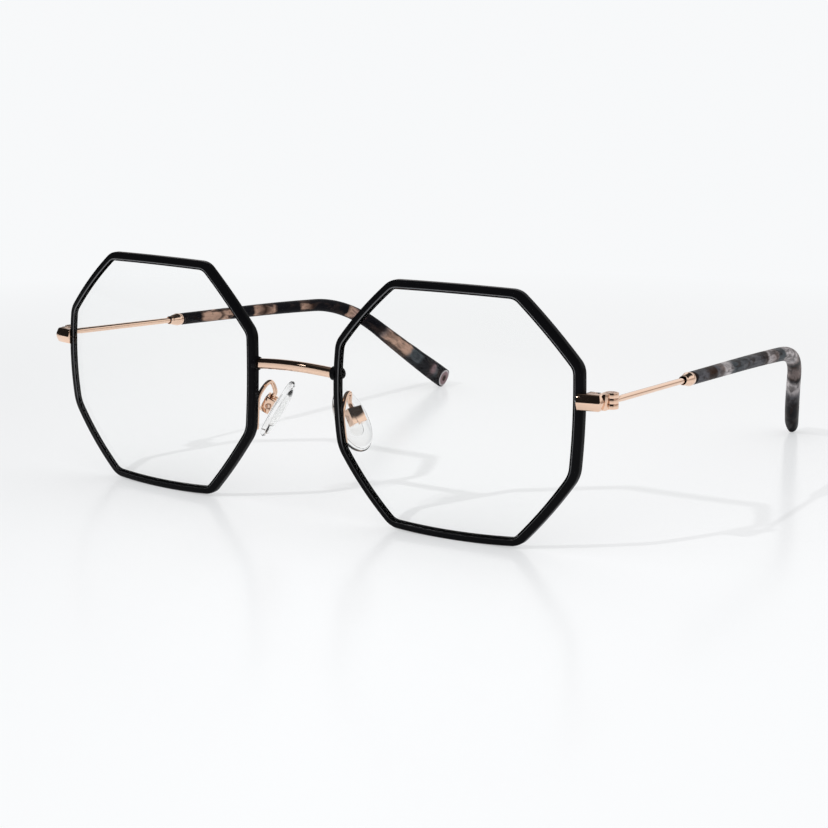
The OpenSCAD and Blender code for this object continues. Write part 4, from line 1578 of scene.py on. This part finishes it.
@dataclass
class Studio:
    """Pale table, surroundings, lamps and camera.

    The walls, the ceiling and the share of the far side are ramps, whose places run from the level
    of the table to straight above it, or towards `beyond`.
    """

    floor_r: float = 4.0
    fade_from: float = -0.1
    fade_to: float = 0.35
    table: tuple[float, float, float] = (0.94, 0.947, 0.955)
    table_gloss: float = 0.2
    table_ior: float = 1.35
    table_sides: int = 96
    backdrop: tuple[float, float, float] = (0.935, 0.945, 0.955)
    ambient: tuple[float, float, float] = (0.855, 0.86, 0.865)
    walls: tuple[tuple[float, tuple[float, float, float]], ...] = (
        (0.0, (0.36, 0.31, 0.28)), (0.12, (0.48, 0.43, 0.4)), (0.24, WHITE), (0.5, WHITE),
        (0.62, (0.03, 0.03, 0.03)))
    ceiling: tuple[tuple[float, tuple[float, float, float]], ...] = (
        (0.82, (0.015, 0.015, 0.015)), (0.96, (0.14, 0.13, 0.12)))
    beyond: tuple[float, float, float] = (0.6, 0.8, 0.0)
    far_side: tuple[tuple[float, tuple[float, float, float]], ...] = ((0.05, BLACK), (0.25, WHITE))
    key_at: tuple[float, float, float] = (-0.196, -0.647, 0.533)
    key_size: float = 0.014
    key_power: float = 2.3
    spark_at: tuple[float, float, float] = (-0.702, -1.032, 0.83)
    spark_size: float = 0.09
    spark_power: float = 0.25
    camera_at: tuple[float, float, float] = (0.2313294, -0.3734035, 0.098997)
    azimuth: float = 33.5599
    elevation: float = 11.5161
    roll: float = 0.4268
    lens: float = 82.12
    sensor: float = 36.0
    clip: tuple[float, float] = (0.01, 20.0)

    def camera(self) -> None:
        """Sets the camera at the photo's place."""
        data = bpy.data.cameras.new("photo_view")
        data.lens, data.sensor_width = self.lens, self.sensor
        data.clip_start, data.clip_end = self.clip
        camera = bpy.data.objects.new("photo_view", data)
        bpy.context.scene.collection.objects.link(camera)
        turn = (Matrix.Rotation(math.radians(self.azimuth), 4, "Z")
                @ Matrix.Rotation(math.radians(90 - self.elevation), 4, "X")
                @ Matrix.Rotation(math.radians(self.roll), 4, "Z"))
        camera.matrix_world = Matrix.Translation(self.camera_at) @ turn
        bpy.context.scene.camera = camera

    def floor(self) -> None:
        """Lays the table and gives it a softly glossy top that fades into the backdrop."""
        bm = bmesh.new()
        bmesh.ops.create_circle(bm, cap_ends=True, segments=self.table_sides, radius=self.floor_r)
        mesh = bpy.data.meshes.new("table_top")
        bm.to_mesh(mesh)
        bm.free()
        made = bpy.data.objects.new("table_top", mesh)
        bpy.context.scene.collection.objects.link(made)
        material = bpy.data.materials.new("pale_table")
        material.use_nodes = True
        bench = NodeBench(material.node_tree)
        shader = material.node_tree.nodes["Principled BSDF"]
        shader.inputs["Base Color"].default_value = (*self.table, 1)
        shader.inputs["Roughness"].default_value = self.table_gloss
        shader.inputs["IOR"].default_value = self.table_ior
        where = bench.add("ShaderNodeTexCoord").outputs["Object"]
        radius = bench.add("ShaderNodeVectorMath", {0: where}, operation="LENGTH").outputs["Value"]
        fade = bench.add("ShaderNodeMapRange", {"Value": radius, "From Min": self.fade_from,
                                                "From Max": self.fade_to})
        share = bench.calc(fade.outputs["Result"], bench.direct_view(), "MULTIPLY")
        glow = bench.add("ShaderNodeEmission", {"Color": (*self.backdrop, 1)})
        mix = bench.add("ShaderNodeMixShader", {0: share, 1: shader.outputs[0], 2: glow.outputs[0]})
        out = material.node_tree.nodes["Material Output"]
        bench.tree.links.new(mix.outputs[0], out.inputs["Surface"])
        mesh.materials.append(material)

    def world(self) -> None:
        """Surrounds the table: pale to the camera and glass, a room with dim parts to the metal."""
        world = bpy.data.worlds.new("studio_room")
        bpy.context.scene.world = world
        world.use_nodes = True
        bench = NodeBench(world.node_tree)
        where = bench.add("ShaderNodeTexCoord").outputs["Generated"]
        height = bench.add("ShaderNodeSeparateXYZ", {0: where}).outputs["Z"]
        far = bench.add("ShaderNodeVectorMath", {0: where, 1: self.beyond}, operation="DOT_PRODUCT")
        side = bench.ramp(far.outputs["Value"], self.far_side)
        room = bench.blend(side, bench.ramp(height, self.ceiling), bench.ramp(height, self.walls))
        path = bench.add("ShaderNodeLightPath").outputs
        colour = bench.blend(path["Is Glossy Ray"], self.ambient, room)
        colour = bench.blend(bench.direct_view(), colour, self.backdrop)
        back = world.node_tree.nodes["Background"]
        bench.tree.links.new(colour, back.inputs["Color"])

    def lamp(self, name: str, at: tuple[float, float, float], size: float, watts: float,
             mirrored: bool = True) -> None:
        """Hangs a square soft lamp that faces the object.

        Args:
            name: The lamp's name.
            at: Its place in metres.
            size: Its edge in metres.
            watts: Its power.
            mirrored: True if shiny pieces show it.
        """
        data = bpy.data.lights.new(name, "AREA")
        data.size, data.energy = size, watts
        lamp = bpy.data.objects.new(name, data)
        bpy.context.scene.collection.objects.link(lamp)
        lamp.visible_transmission = False
        lamp.visible_glossy = mirrored
        lamp.location = at
        lamp.rotation_mode = "QUATERNION"
        lamp.rotation_quaternion = (-Vector(at)).to_track_quat("-Z", "Y")

    def build(self) -> None:
        """Sets up everything that isn't part of the object."""
        self.camera()
        self.floor()
        self.world()
        self.lamp("key_lamp", self.key_at, self.key_size, self.key_power, mirrored=False)
        self.lamp("spark_lamp", self.spark_at, self.spark_size, self.spark_power)


def main() -> None:
    """Builds the studio and every piece."""
    logging.basicConfig(level=logging.INFO, format="%(name)s: %(message)s")
    scene = bpy.context.scene
    scene.view_settings.view_transform = "Standard"
    Studio().build()
    front, outline = Front(), Octagon()
    eyewire = Eyewire(front, outline)
    lens = Lens(front, outline)
    fittings = Fittings()
    temple = Temple(TempleLine())
    pad = NosePad(front, eyewire)
    Bridge(front, eyewire).build()
    for side in Side:
        eyewire.build(side)
        lens.build(side)
        fittings.build(side)
        temple.build(side)
        pad.build(side)


if __name__ == "__main__":
    main()
